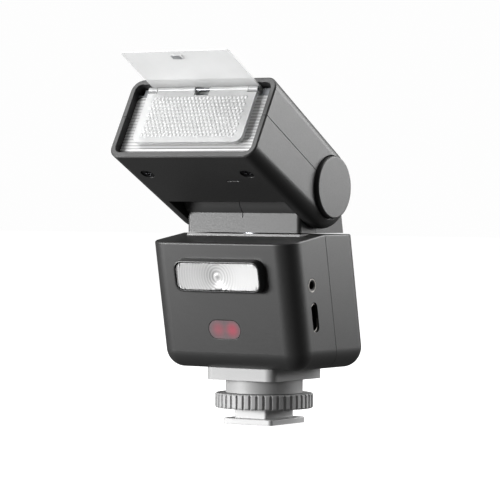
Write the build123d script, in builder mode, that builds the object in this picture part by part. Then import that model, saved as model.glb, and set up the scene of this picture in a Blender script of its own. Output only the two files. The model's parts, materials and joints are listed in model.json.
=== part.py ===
"""Speedlight flash on a hot-shoe adapter: every separate piece, each written to parts/ in millimetres.

+Z is up, the flash looks along -Y, and the origin is the centre of the shoe foot's underside, which is on
the axis that the head swivels about. The head is drawn tilted up by head_tilt.
"""
from build123d import *
import os
from math import asin, atan2, cos, radians, sin, sqrt, tan

os.makedirs("parts", exist_ok=True)

# ---- Hot-shoe adapter -------------------------------------------------------------------------
foot_width = 18.6
foot_length = 20.4
foot_thickness = 1.8
stem_width = 12.2
stem_length = 16.2
stem_height = 3.0
ring_radius = 15.7
ring_height = 5.0
ring_ridges = 44
ring_ridge_depth = 0.5
ring_lip = 0.6
spindle_radius = 7.4
collar_radius = 12.3
collar_height = 4.3
plate_width = 26.0
plate_length = 30.2
plate_thickness = 3.9
plate_wall = 1.6
plate_floor = 0.9
plate_corner = 3.0
lid_thickness = 0.8
lock_pin_radius = 1.2
lock_pin_y = 4.8
lock_pin_travel = 1.5

# ---- Body case: front, split and rear faces all lean by the same angle ----------------------------
case_width = 53.6
case_height = 42.4
case_lean = 11.4
case_wall = 1.8
case_corner = 6.4
case_front_y = -27.9
case_split_y = -7.2
case_rear_y = 12.8
case_nose_drop = 2.9
case_edge = 0.5

# ---- Neck and swivel ------------------------------------------------------------------------------
neck_width = 42.6
neck_front_y = -13.05
neck_wall = 1.6
neck_corner = 1.3
neck_shoulder = 6.6
hub_radius = 8.95
hub_bore = 6.8
hub_flange_radius = 10.3
bearing_thickness = 2.0
bearing_width = 37.0
bearing_length = 21.8

# ---- Tilt hinge -------------------------------------------------------------------------------------
hinge_y = -3.85
hinge_height = 14.7
barrel_radius = 12.3
axle_radius = 4.0
axle_bore = 2.0
cap_radius = 9.8
cap_proud = 1.4
cap_depth = 1.2

# ---- Head: u runs forward along the head, v runs up across it, both from the hinge axis ---------------
head_tilt = 30.0
head_width = 54.0
head_reach = 43.15
head_top = 13.6
head_bottom = 14.7
head_rear_radius = 13.0
head_wall = 1.8
head_corner = 4.0
rim_chamfer = 0.4
recess_reach = 14.0
roof_reach = 5.0
lens_recess = 2.5
lens_thickness = 1.75
lens_top = 8.5
head_screw_x = 18.5
head_screw_u = 32.1
head_screw_sink = 1.25
slit_length = 4.7
slit_width = 0.6
slit_x = 10.7
slit_u = 27.7

# ---- Bounce card and wide-angle panel --------------------------------------------------------------------
card_half_width = 19.9
card_length = 26.5
card_out = 18.8
card_thickness = 0.4
card_v = 11.55
panel_half_width = 20.2
panel_thickness = 1.2
panel_pivot_v = 10.1
panel_pivot_set_back = 1.05
panel_drop = 19.2
panel_knuckle = 0.9
panel_knuckle_width = 3.2
panel_notch = 2.8
panel_notch_depth = 0.9
carrier_length = 6.9

# ---- Windows, sockets and controls ---------------------------------------------------------------
lamp_width = 32.0
lamp_height = 9.8
lamp_proud = 2.6
lamp_drop = 13.2
lamp_flare = 0.7
lamp_rim = 0.5
assist_width = 11.7
assist_height = 5.9
assist_x = -0.7
assist_drop = 30.6
jack_radius = 2.2
jack_bore = 1.3
jack_y = -14.45
jack_drop = 15.75
usb_length = 9.5
usb_width = 3.5
usb_y = -12.45
usb_drop = 25.8
screen_width = 25.5
screen_height = 20.0
screen_x = -7.0
screen_drop = 17.0
dial_x = 13.3
dial_drop = 21.4
dial_radius = 5.8
dial_proud = 1.6
set_radius = 3.2
key_radius = 2.6
key_proud = 0.7
key_travel = 0.6
test_drop = 9.7
menu_x = 1.5
lower_row_drop = 29.8
switch_x = -12.0
switch_width = 5.2
switch_height = 3.1
switch_travel = 3.0

# ---- Fits ----------------------------------------------------------------------------------------
seam = 0.15
running = 0.06
glide = 0.1
free = 0.35
window_gap = 0.15

# ---- Levels worked out from the sizes above ------------------------------------------------------
ring_bottom = foot_thickness + stem_height
ring_top = ring_bottom + ring_height
plate_bottom = ring_top + collar_height
case_bottom = plate_bottom + plate_thickness
platform_z = case_bottom + case_height
hinge_z = platform_z + hinge_height
neck_bottom = platform_z + 0.3
neck_floor = neck_bottom + neck_wall
lean = radians(case_lean)
tilt = radians(head_tilt)
front_normal = (0, -cos(lean), -sin(lean))
rear_normal = (0, cos(lean), sin(lean))
u_axis = (0, -cos(tilt), sin(tilt))
v_axis = (0, sin(tilt), cos(tilt))
neck_half = neck_width / 2
arm_inner = neck_half + free
head_half = head_width / 2
lens_front = head_reach - lens_recess


def leaned(y, z):
    """The y, at height z, of a leaning line that is at y level with the platform."""
    return y + (platform_z - z) * tan(lean)


def front_plane(depth=0.0):
    """The plane of the case's front face, moved in by depth. Local x is +X and local y runs up the face."""
    origin = (0, case_front_y, platform_z)
    return Plane(origin=origin, x_dir=(1, 0, 0), z_dir=front_normal).offset(-depth)


def rear_plane(depth=0.0):
    """The plane of the case's rear face, moved in by depth. Local x is -X and local y runs up the face."""
    origin = (0, case_rear_y, platform_z)
    return Plane(origin=origin, x_dir=(-1, 0, 0), z_dir=rear_normal).offset(-depth)


def case_point(depth, drop):
    """The (y, z) of a point depth behind the front face and drop down along it."""
    return (
        case_front_y + depth * cos(lean) + drop * sin(lean),
        platform_z + depth * sin(lean) - drop * cos(lean),
    )


def split_plane(shift=0.0):
    """The plane between the front case and the rear cover, moved towards the rear by shift."""
    origin = (0, case_split_y, platform_z)
    return Plane(origin=origin, x_dir=(1, 0, 0), z_dir=front_normal).offset(-shift)


def side_plane(x=0.0):
    """A plane across the object at x. Local x is +Y and local y is +Z."""
    return Plane.YZ.offset(x)


def head_point(x, u, v):
    """The place of a point given across, along and up the head."""
    return (x, hinge_y + u * u_axis[1] + v * v_axis[1], hinge_z + u * u_axis[2] + v * v_axis[2])


def head_side(x=0.0):
    """The head's side plane at x. Local x is u and local y is v."""
    return Plane(origin=head_point(x, 0, 0), x_dir=u_axis, z_dir=(-1, 0, 0))


def head_front(u):
    """A plane across the head at u. Local x is +X and local y is v."""
    return Plane(origin=head_point(0, u, 0), x_dir=(1, 0, 0), z_dir=u_axis)


def head_deck(v):
    """A plane along the head at v. Local x is +X and local y is -u."""
    return Plane(origin=head_point(0, 0, v), x_dir=(1, 0, 0), z_dir=v_axis)


def tangent_point(px, py, cx, cy, radius, turn):
    """Where a line from (px, py) touches a circle. turn is +1 or -1 for its two sides."""
    dx, dy = cx - px, cy - py
    reach = sqrt(dx * dx + dy * dy)
    angle = atan2(dy, dx) + turn * asin(radius / reach)
    run = sqrt(reach * reach - radius * radius)
    return (px + run * cos(angle), py + run * sin(angle))


def box_on(plane, width, height, depth, at=(0, 0), corner=0.0, mode=Mode.ADD):
    """Extrude a rectangle, with rounded corners if corner is given, from plane by depth."""
    with BuildSketch(plane) as outline:
        with Locations(at):
            if corner:
                RectangleRounded(width, height, corner)
            else:
                Rectangle(width, height)
    extrude(outline.sketch, amount=depth, mode=mode)


def disc_on(plane, radius, depth, at=((0, 0),), mode=Mode.ADD):
    """Extrude circles of one radius, at each place, from plane by depth."""
    with BuildSketch(plane) as outline:
        with Locations(*at):
            Circle(radius)
    extrude(outline.sketch, amount=depth, mode=mode)


def slot_on(plane, width, height, depth, at=(0, 0), turn=0, mode=Mode.ADD):
    """Extrude a slot with round ends, width long and height across, from plane by depth."""
    with BuildSketch(plane) as outline:
        with Locations(at):
            SlotOverall(width, height, rotation=turn)
    extrude(outline.sketch, amount=depth, mode=mode)


def finish_piece(piece, label):
    """Label a finished piece and write its file."""
    piece.part.label = label
    export_step(piece.part, f"parts/{label}.step")


# =================================================================================================
# Hot-shoe adapter
# =================================================================================================
contact_places = [(0, 0), (-4.2, 3.8), (4.2, 3.8), (-4.2, -0.4), (4.2, -0.4)]
contact_radius = 0.8
contact_length = 3.5
foot_screw_places = [(-3.6, -4.8), (3.6, -4.8)]
foot_screw_radius = 0.8
foot_screw_head = 1.6
foot_screw_head_height = 1.1
foot_screw_top = ring_bottom + 3.6
pin_bore = lock_pin_radius + running
pin_top = ring_top - 0.6
follower_radius = 0.6
follower_z = pin_top - 1.0
follower_reach = spindle_radius + 1.6
groove_radius = follower_reach + 0.6

with BuildPart() as shoe_foot:
    box_on(Plane.XY, foot_width, foot_length, foot_thickness, corner=1.2)
    chamfer(shoe_foot.edges().group_by(Axis.Z)[-1], 0.25)
    box_on(Plane.XY.offset(foot_thickness), stem_width, stem_length, stem_height, corner=0.8)
    disc_on(Plane.XY, contact_radius, contact_length, contact_places, Mode.SUBTRACT)
    disc_on(Plane.XY, foot_screw_radius, ring_bottom, foot_screw_places, Mode.SUBTRACT)
    disc_on(Plane.XY, foot_screw_head, foot_screw_head_height, foot_screw_places, Mode.SUBTRACT)
    disc_on(Plane.XY, pin_bore, ring_bottom, [(0, lock_pin_y)], Mode.SUBTRACT)
finish_piece(shoe_foot, "shoe_foot")

with BuildPart() as shoe_contacts:
    disc_on(Plane.XY, contact_radius, contact_length, contact_places)
finish_piece(shoe_contacts, "shoe_contacts")

with BuildPart() as foot_screws:
    disc_on(Plane.XY.offset(0.1), foot_screw_head, foot_screw_head_height - 0.1, foot_screw_places)
    disc_on(Plane.XY.offset(0.1), foot_screw_radius, foot_screw_top - 0.1, foot_screw_places)
    slot_places = [Location((x, y, 0.1)) for x, y in foot_screw_places]
    with Locations(*slot_places):
        Box(1.8, 0.35, 0.5, align=(Align.CENTER, Align.CENTER, Align.MIN), mode=Mode.SUBTRACT)
        Box(0.35, 1.8, 0.5, align=(Align.CENTER, Align.CENTER, Align.MIN), mode=Mode.SUBTRACT)
finish_piece(foot_screws, "foot_screws")

with BuildPart() as lock_pin:
    disc_on(Plane.XY.offset(0.1), lock_pin_radius, pin_top - 0.1, [(0, lock_pin_y)])
    chamfer(lock_pin.edges().group_by(Axis.Z)[0], 0.3)
    disc_on(Plane.XZ.offset(-lock_pin_y), follower_radius, lock_pin_y - follower_reach, [(0, follower_z)])
finish_piece(lock_pin, "lock_pin")

with BuildPart() as lock_ring:
    with BuildSketch(Plane.XY.offset(ring_bottom + free / 2)) as ring_outline:
        Circle(ring_radius)
        with PolarLocations(ring_radius, ring_ridges):
            Circle(ring_ridge_depth, mode=Mode.SUBTRACT)
    extrude(amount=ring_height - free)
    ring_rims = lock_ring.edges().filter_by(GeomType.CIRCLE).filter_by(
        lambda e: e.radius > ring_radius - 0.01 and abs(e.center().Z - e.start_point().Z) < 1e-6
    )
    chamfer(ring_rims, 0.4)
    disc_on(Plane.XY.offset(ring_bottom), spindle_radius + running, ring_height, mode=Mode.SUBTRACT)
    disc_on(
        Plane.XY.offset(ring_bottom + free / 2 + ring_lip), groove_radius,
        ring_height - free - 2 * ring_lip, mode=Mode.SUBTRACT,
    )
finish_piece(lock_ring, "lock_ring")

with BuildPart() as adapter_housing:
    disc_on(Plane.XY.offset(ring_bottom), spindle_radius, ring_height)
    disc_on(Plane.XY.offset(ring_top), collar_radius, collar_height)
    box_on(Plane.XY.offset(plate_bottom), plate_width, plate_length, plate_thickness, corner=plate_corner)
    box_on(
        Plane.XY.offset(plate_bottom + plate_floor), plate_width - 2 * plate_wall,
        plate_length - 2 * plate_wall,
        plate_thickness, corner=plate_corner - plate_wall, mode=Mode.SUBTRACT,
    )
    disc_on(
        Plane.XY.offset(ring_bottom), foot_screw_radius, foot_screw_top - ring_bottom,
        foot_screw_places, Mode.SUBTRACT,
    )
    disc_on(Plane.XY.offset(ring_bottom), pin_bore, ring_height + 1.0, [(0, lock_pin_y)], Mode.SUBTRACT)
    slot_top = ring_top - 0.3
    slot_bottom = follower_z - lock_pin_travel - follower_radius - free
    with BuildSketch(Plane.XZ.offset(-lock_pin_y)):
        with Locations((0, (slot_top + slot_bottom) / 2)):
            Rectangle(2 * follower_radius + 0.6, slot_top - slot_bottom)
    extrude(amount=-(spindle_radius - lock_pin_y + 1), mode=Mode.SUBTRACT)
finish_piece(adapter_housing, "adapter_housing")

with BuildPart() as adapter_board:
    box_on(
        Plane.XY.offset(plate_bottom + plate_floor + 0.4), plate_width - 2 * plate_wall - 1,
        plate_length - 2 * plate_wall - 1, 0.8, corner=0.8,
    )
finish_piece(adapter_board, "adapter_board")

with BuildPart() as adapter_lid:
    box_on(
        Plane.XY.offset(case_bottom - lid_thickness), plate_width - 2 * plate_wall,
        plate_length - 2 * plate_wall, lid_thickness, corner=plate_corner - plate_wall,
    )
finish_piece(adapter_lid, "adapter_lid")


# =================================================================================================
# Body case
# =================================================================================================
def case_block(inset):
    """The leaning, rounded case as a solid block, drawn in by inset on every side."""
    nose_z = platform_z - case_nose_drop
    with BuildPart() as block:
        with BuildSketch(Plane.YZ):
            with BuildLine():
                Polyline(
                    (leaned(case_front_y, case_bottom), case_bottom),
                    (leaned(case_rear_y, case_bottom), case_bottom),
                    (case_rear_y, platform_z),
                    (case_split_y, platform_z),
                    (leaned(case_front_y, nose_z), nose_z),
                    close=True,
                )
            make_face()
            if inset:
                offset(amount=-inset, kind=Kind.INTERSECTION)
        extrude(amount=case_width / 2 - inset, both=True)
        upright = block.edges().filter_by(lambda e: abs(e.tangent_at(0.5).Z) > 0.9)
        fillet(upright, case_corner - inset)
        fillet(block.faces().sort_by(Axis.Z)[0].edges(), case_corner - inset - 0.1)
        if not inset:
            top_edges = block.edges().filter_by(lambda e: e.center().Z > nose_z - 0.2)
            top_edges = top_edges.filter_by(
                lambda e: abs(e.center().Y - case_split_y) > 1 or abs(e.center().X) > 1
            )
            fillet(top_edges, case_edge)
    return block.part


case_shell_outer = case_block(0)
case_shell_inner = case_block(case_wall)
swivel_hole = hub_radius + 0.45
boss_radius = 2.4
case_screw_x = 16.5
case_screw_drop = 35.2
case_screw_radius = 1.0
case_screw_head = 1.9
case_screw_sink = 3.0
case_screw_grip = 3.5
split_depth = (case_split_y - case_front_y) * cos(lean)
case_depth = (case_rear_y - case_front_y) * cos(lean)
case_screw_places = [(-case_screw_x, -case_screw_drop), (case_screw_x, -case_screw_drop)]
bearing_top = platform_z - case_wall - 1.0
bearing_bottom = bearing_top - bearing_thickness
bearing_y = -0.3
bearing_screw_x = 15.8
bearing_screw_y = 9.0
bearing_screw_radius = 0.9
front_boss_places = [
    (-bearing_screw_x, bearing_y - bearing_screw_y),
    (bearing_screw_x, bearing_y - bearing_screw_y),
]
rear_boss_places = [
    (-bearing_screw_x, bearing_y + bearing_screw_y),
    (bearing_screw_x, bearing_y + bearing_screw_y),
]
magnet_radius = 2.5
magnet_thickness = 1.2
magnet_skin = 0.5
magnet_places = [(-8.5, -7.0), (8.5, -7.0), (-8.5, 9.5), (8.5, 9.5)]
link_places = [(-5.0 + 2.5 * i, 4.0) for i in range(5)]
link_radius = 0.55
magnet_top = case_bottom + magnet_skin + magnet_thickness

with BuildPart() as front_case:
    add(case_shell_outer)
    # the flat pad that the neck turns on, which stands a little above the sloping top
    pad_length = case_split_y - neck_front_y
    box_on(
        Plane.XY.offset(platform_z), neck_width, pad_length, -case_wall * 0.7,
        at=(0, neck_front_y + pad_length / 2),
    )
    add(case_shell_inner, mode=Mode.SUBTRACT)
    disc_on(front_plane(split_depth), boss_radius + 0.4, split_depth - case_wall / 2, case_screw_places)
    disc_on(
        front_plane(split_depth), case_screw_radius, case_screw_grip + 0.5, case_screw_places, Mode.SUBTRACT
    )
    # pads for the two magnets and the link contacts that lie ahead of the split
    disc_on(
        Plane.XY.offset(case_bottom + 0.9), magnet_radius + 1, magnet_top - case_bottom - 0.9,
        magnet_places[:2]
    )
    disc_on(
        Plane.XY.offset(case_bottom + magnet_skin), magnet_radius, magnet_thickness + 1,
        magnet_places[:2], Mode.SUBTRACT,
    )
    split(bisect_by=split_plane(), keep=Keep.TOP)
    disc_on(Plane.XY.offset(bearing_top), boss_radius, case_wall, front_boss_places)
    disc_on(Plane.XY.offset(bearing_top - 1), bearing_screw_radius, 2.7, front_boss_places, Mode.SUBTRACT)
    disc_on(Plane.XY.offset(platform_z - 8), swivel_hole, 12, mode=Mode.SUBTRACT)
    # openings for the lamp, the focus-assist window and the two sockets
    box_on(
        front_plane(case_wall + 1), lamp_width - 0.6, lamp_height - 0.6, case_wall + 2,
        at=(0, -lamp_drop), corner=2.6, mode=Mode.SUBTRACT,
    )
    slot_on(
        front_plane(case_wall + 1), assist_width + 2 * window_gap, assist_height + 2 * window_gap,
        case_wall + 2, at=(assist_x, -assist_drop), mode=Mode.SUBTRACT,
    )
    disc_on(
        side_plane(case_width / 2 - case_wall - 1), jack_radius, case_wall + 2,
        [(jack_y, platform_z - jack_drop)], Mode.SUBTRACT,
    )
    slot_on(
        side_plane(case_width / 2 - case_wall - 1), usb_length, usb_width, case_wall + 2,
        at=(usb_y, platform_z - usb_drop), turn=90 + case_lean, mode=Mode.SUBTRACT,
    )
finish_piece(front_case, "front_case")

key_hole = key_radius + window_gap
key_flange_radius = key_radius + 0.8
dial_skirt = dial_radius + 1.3
screen_at = (screen_x, -screen_drop)
screen_glass = 1.0
dial_at = (dial_x, -dial_drop)
test_at = (dial_x, -test_drop)
menu_at = (menu_x, -lower_row_drop)
switch_at = (switch_x, -lower_row_drop)
switch_slot = switch_width + switch_travel + 0.4

with BuildPart() as rear_cover:
    add(case_shell_outer)
    add(case_shell_inner, mode=Mode.SUBTRACT)
    rear_boss_length = case_depth - split_depth - seam
    disc_on(
        rear_plane(rear_boss_length), boss_radius + 0.4, rear_boss_length - case_wall / 2, case_screw_places
    )
    disc_on(
        rear_plane(rear_boss_length), case_screw_radius, rear_boss_length, case_screw_places, Mode.SUBTRACT
    )
    disc_on(
        rear_plane(case_screw_sink), case_screw_head, case_screw_sink + 1, case_screw_places, Mode.SUBTRACT
    )
    disc_on(
        Plane.XY.offset(case_bottom + 0.9), magnet_radius + 1, magnet_top - case_bottom - 0.9,
        magnet_places[2:]
    )
    disc_on(
        Plane.XY.offset(case_bottom + magnet_skin), magnet_radius, magnet_thickness + 1,
        magnet_places[2:], Mode.SUBTRACT,
    )
    disc_on(Plane.XY.offset(case_bottom), link_radius, case_wall, link_places, Mode.SUBTRACT)
    split(bisect_by=split_plane(seam), keep=Keep.BOTTOM)
    disc_on(Plane.XY.offset(bearing_top), boss_radius, case_wall, rear_boss_places)
    disc_on(Plane.XY.offset(bearing_top - 1), bearing_screw_radius, 2.7, rear_boss_places, Mode.SUBTRACT)
    disc_on(Plane.XY.offset(platform_z - 8), swivel_hole, 12, mode=Mode.SUBTRACT)
    # screen pocket and opening, then the dial, the two keys and the switch
    box_on(
        rear_plane(screen_glass), screen_width, screen_height, screen_glass + 1,
        at=screen_at, corner=2.0, mode=Mode.SUBTRACT,
    )
    box_on(
        rear_plane(case_wall + 1), screen_width - 3, screen_height - 3, case_wall + 2,
        at=screen_at, corner=1.0, mode=Mode.SUBTRACT,
    )
    disc_on(rear_plane(case_wall + 1), dial_radius + free, case_wall + 2, [dial_at], Mode.SUBTRACT)
    disc_on(rear_plane(case_wall + 1), key_hole, case_wall + 2, [test_at, menu_at], Mode.SUBTRACT)
    slot_on(
        rear_plane(case_wall + 1), switch_slot, switch_height + 2 * window_gap, case_wall + 2,
        at=(switch_x + switch_travel / 2, -lower_row_drop), mode=Mode.SUBTRACT,
    )
finish_piece(rear_cover, "rear_cover")

with BuildPart() as case_screws:
    screw_length = case_depth - split_depth - case_screw_sink + case_screw_grip
    disc_on(rear_plane(case_screw_sink), case_screw_head - 0.1, 1.2, case_screw_places)
    disc_on(rear_plane(case_screw_sink), case_screw_radius, -screw_length, case_screw_places)
    for place in case_screw_places:
        box_on(rear_plane(case_screw_sink + 0.6), 2.2, 0.45, 1, at=place, mode=Mode.SUBTRACT)
        box_on(rear_plane(case_screw_sink + 0.6 - 1.2), 2.2, 0.45, 1, at=place, mode=Mode.SUBTRACT)
        box_on(rear_plane(case_screw_sink + 0.6 - 1.2), 0.45, 2.2, 1, at=place, mode=Mode.SUBTRACT)
finish_piece(case_screws, "case_screws")

with BuildPart() as dock_magnets:
    disc_on(Plane.XY.offset(case_bottom + magnet_skin), magnet_radius, magnet_thickness, magnet_places)
finish_piece(dock_magnets, "dock_magnets")

with BuildPart() as link_pins:
    disc_on(Plane.XY.offset(case_bottom), link_radius, case_wall + 1.0, link_places)
finish_piece(link_pins, "link_pins")

# ---- Lamp, focus-assist window and their boards ------------------------------------------------------
lens_gap = 0.2
lamp_opening = (lamp_width - 2 * lamp_rim, lamp_height - 2 * lamp_rim)
ledge_depth = 0.4
sleeve_length = case_wall + 0.8

with BuildPart() as lamp_bezel:
    with BuildSketch(front_plane()):
        with Locations((0, -lamp_drop)):
            RectangleRounded(lamp_width + 2 * lamp_flare, lamp_height + 2 * lamp_flare * 0.6, 3.2)
    with BuildSketch(front_plane(-lamp_proud)):
        with Locations((0, -lamp_drop)):
            RectangleRounded(lamp_width, lamp_height, 2.7)
    loft()
    fillet(lamp_bezel.faces().sort_by(Axis.Y)[0].edges(), 0.3)
    box_on(
        front_plane(sleeve_length), lamp_width - 0.7, lamp_height - 0.7, sleeve_length, (0, -lamp_drop), 2.5
    )
    box_on(
        front_plane(ledge_depth), *lamp_opening, ledge_depth + lamp_proud + 1,
        at=(0, -lamp_drop), corner=2.3, mode=Mode.SUBTRACT,
    )
    box_on(
        front_plane(sleeve_length + 1), lamp_opening[0] - 2, lamp_opening[1] - 2, sleeve_length + 2,
        at=(0, -lamp_drop), corner=1.5, mode=Mode.SUBTRACT,
    )
finish_piece(lamp_bezel, "lamp_bezel")

with BuildPart() as lamp_lens:
    box_on(
        front_plane(ledge_depth), lamp_opening[0] - 2 * lens_gap, lamp_opening[1] - 2 * lens_gap,
        ledge_depth + lamp_proud - 0.3, at=(0, -lamp_drop), corner=2.1,
    )
    fillet(lamp_lens.faces().sort_by(Axis.Y)[0].edges(), 0.25)
finish_piece(lamp_lens, "lamp_lens")

lamp_board_depth = sleeve_length + 1.6

with BuildPart() as lamp_emitter:
    box_on(front_plane(lamp_board_depth), 8.0, 4.2, 0.8, at=(0, -lamp_drop), corner=0.3)
finish_piece(lamp_emitter, "lamp_emitter")

with BuildPart() as lamp_board:
    box_on(front_plane(lamp_board_depth + 1.4), 34.0, 12.5, 1.4, at=(0, -lamp_drop), corner=1.0)
finish_piece(lamp_board, "lamp_board")

with BuildPart() as assist_window:
    slot_on(
        front_plane(case_wall + 0.2), assist_width, assist_height, case_wall + 0.2, (assist_x, -assist_drop)
    )
finish_piece(assist_window, "assist_window")

with BuildPart() as assist_leds:
    led_places = [(assist_x - 2.7, -assist_drop), (assist_x + 2.7, -assist_drop)]
    disc_on(front_plane(case_wall + 3.2), 1.5, 2.2, led_places)
    fillet(assist_leds.edges().filter_by(GeomType.CIRCLE).group_by(Axis.Y)[0], 0.8)
finish_piece(assist_leds, "assist_leds")

with BuildPart() as assist_board:
    box_on(front_plane(case_wall + 4.2), 14.0, 7.0, 1.0, at=(assist_x, -assist_drop), corner=0.5)
finish_piece(assist_board, "assist_board")

# ---- Sockets in the +X side ------------------------------------------------------------------------------
side_x = case_width / 2

with BuildPart() as sync_jack:
    jack_at = [(jack_y, platform_z - jack_drop)]
    disc_on(side_plane(side_x - 11.0), jack_radius, 10.9, jack_at)
    disc_on(side_plane(side_x - 10.0), jack_bore, 12, jack_at, Mode.SUBTRACT)
    chamfer(sync_jack.edges().group_by(Axis.X)[-1], 0.2)
finish_piece(sync_jack, "sync_jack")

with BuildPart() as usb_socket:
    usb_at = (usb_y, platform_z - usb_drop)
    usb_turn = 90 + case_lean
    usb_wall = 0.3
    slot_on(side_plane(side_x - 8.0), usb_length - 0.5, usb_width - 0.3, 7.4, at=usb_at, turn=usb_turn)
    slot_on(
        side_plane(side_x - 7.2), usb_length - 0.5 - 2 * usb_wall, usb_width - 0.3 - 2 * usb_wall, 8,
        at=usb_at, turn=usb_turn, mode=Mode.SUBTRACT,
    )
    with BuildSketch(side_plane(side_x - 7.4)):
        with Locations(Location(usb_at, usb_turn)):
            Rectangle(6.6, 0.7)
    extrude(amount=5.6)
finish_piece(usb_socket, "usb_socket")

# ---- Inside the case -----------------------------------------------------------------------------
board_depth = 8.0
board_thickness = 1.2
tact_height = 1.6

with BuildPart() as main_board:
    box_on(
        rear_plane(board_depth + board_thickness), 42.0, 24.4, board_thickness, at=(0, -19.8), corner=1.0
    )
finish_piece(main_board, "main_board")

with BuildPart() as key_switches:
    for place in (test_at, menu_at):
        box_on(rear_plane(board_depth), 4.0, 4.0, tact_height, at=place)
    box_on(rear_plane(board_depth), 8.0, 3.6, 2.6, at=(switch_x + switch_travel / 2, -lower_row_drop))
    # the encoder that the dial turns, round the switch under the dial's middle
    box_on(rear_plane(board_depth), 13.0, 13.0, 2.4, at=dial_at, corner=0.8)
    box_on(rear_plane(board_depth), 5.0, 5.0, 3.0, at=dial_at, mode=Mode.SUBTRACT)
    box_on(rear_plane(board_depth), 4.0, 4.0, tact_height, at=dial_at)
finish_piece(key_switches, "key_switches")

with BuildPart() as battery:
    box_on(front_plane(28.5), 27.0, 20.0, 15.5, at=(0, -31.0), corner=2.5)
finish_piece(battery, "battery")

with BuildPart() as main_capacitor:
    with BuildSketch(side_plane(-21.0)):
        with Locations(case_point(11.6, 15.2)):
            Circle(4.6)
    extrude(amount=35.0)
finish_piece(main_capacitor, "main_capacitor")

with BuildPart() as charging_transformer:
    box_on(front_plane(19.0), 7.5, 10.0, 8.0, at=(-19.2, -26.0), corner=0.8)
finish_piece(charging_transformer, "charging_transformer")

# ---- Rear controls -------------------------------------------------------------------------------
with BuildPart() as screen_window:
    box_on(
        rear_plane(screen_glass), screen_width - 0.1, screen_height - 0.1, screen_glass,
        at=screen_at, corner=1.95,
    )
    fillet(screen_window.faces().sort_by(Axis.Y)[-1].edges(), 0.2)
finish_piece(screen_window, "screen_window")

with BuildPart() as screen_module:
    box_on(rear_plane(case_wall + 2.3), screen_width - 2, screen_height - 2, 2.2, at=screen_at, corner=0.8)
finish_piece(screen_module, "screen_module")

dial_skirt_top = case_wall + 0.2
dial_skirt_bottom = dial_skirt_top + 1.2

with BuildPart() as dial:
    disc_on(rear_plane(dial_skirt_bottom), dial_radius, dial_skirt_bottom + dial_proud, [dial_at])
    chamfer(dial.edges().filter_by(GeomType.CIRCLE).group_by(Axis.Y)[-1], 0.4)
    with BuildSketch(rear_plane(-0.3)):
        with Locations(dial_at):
            with PolarLocations(dial_radius + 0.15, 30):
                Circle(0.32)
    extrude(amount=dial_proud, mode=Mode.SUBTRACT)
    disc_on(rear_plane(dial_skirt_bottom), dial_skirt, 1.2, [dial_at])
    disc_on(rear_plane(dial_skirt_bottom + 1), set_radius + free, 12, [dial_at], Mode.SUBTRACT)
finish_piece(dial, "dial")

stem_end = board_depth - tact_height - key_travel - 0.1

with BuildPart() as set_key:
    disc_on(rear_plane(dial_skirt_bottom), set_radius, dial_skirt_bottom + dial_proud - 0.4, [dial_at])
    fillet(set_key.edges().filter_by(GeomType.CIRCLE).group_by(Axis.Y)[-1], 0.3)
    disc_on(rear_plane(stem_end), 1.2, stem_end - dial_skirt_bottom + 0.2, [dial_at])
finish_piece(set_key, "set_key")

for key_label, key_at in (("test_key", test_at), ("menu_key", menu_at)):
    flange_top = case_wall + 0.1
    flange_bottom = flange_top + 0.8
    with BuildPart() as key:
        disc_on(rear_plane(flange_bottom), key_radius, flange_bottom + key_proud, [key_at])
        fillet(key.edges().filter_by(GeomType.CIRCLE).group_by(Axis.Y)[-1], 0.3)
        disc_on(rear_plane(flange_bottom), key_flange_radius, 0.8, [key_at])
        disc_on(rear_plane(stem_end), 1.0, stem_end - flange_bottom + 0.2, [key_at])
    finish_piece(key, key_label)

with BuildPart() as power_switch:
    switch_flange_top = case_wall + 0.15
    slot_on(
        rear_plane(switch_flange_top + 0.4), switch_width, switch_height, switch_flange_top + 0.4 + 0.9,
        at=switch_at,
    )
    for step in (-1, 0, 1):
        box_on(
            rear_plane(-0.6), 0.35, 2.0, 1, at=(switch_x + step * 0.9, -lower_row_drop), mode=Mode.SUBTRACT
        )
    box_on(
        rear_plane(switch_flange_top + 1.0), switch_width + 5.0, switch_height + 1.6, 1.0, at=switch_at,
        corner=0.5,
    )
finish_piece(power_switch, "power_switch")


# =================================================================================================
# Swivel
# =================================================================================================
retainer_thickness = 1.2
retainer_bore = 8.2
retainer_radius = 11.6
hub_foot = bearing_bottom - 3.0
retainer_top = bearing_bottom - 1.5

with BuildPart() as bearing_plate:
    box_on(
        Plane.XY.offset(bearing_bottom), bearing_width, bearing_length, bearing_thickness, (0, bearing_y),
        2.0
    )
    disc_on(Plane.XY.offset(bearing_bottom), hub_radius + 0.05, bearing_thickness, mode=Mode.SUBTRACT)
    disc_on(
        Plane.XY.offset(bearing_bottom), bearing_screw_radius, bearing_thickness,
        front_boss_places + rear_boss_places, Mode.SUBTRACT,
    )
finish_piece(bearing_plate, "bearing_plate")

with BuildPart() as bearing_screws:
    bearing_screw_places = front_boss_places + rear_boss_places
    disc_on(Plane.XY.offset(bearing_bottom), 1.7, -1.2, bearing_screw_places)
    disc_on(
        Plane.XY.offset(bearing_bottom), bearing_screw_radius, bearing_thickness + 1.6, bearing_screw_places
    )
finish_piece(bearing_screws, "bearing_screws")

with BuildPart() as swivel_hub:
    disc_on(Plane.XY.offset(retainer_top), hub_radius, neck_floor - retainer_top)
    disc_on(Plane.XY.offset(hub_foot), retainer_bore, retainer_top - hub_foot)
    disc_on(Plane.XY.offset(neck_floor), hub_flange_radius, 1.6)
    disc_on(Plane.XY.offset(hub_foot), hub_bore, 20, mode=Mode.SUBTRACT)
finish_piece(swivel_hub, "swivel_hub")

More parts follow.
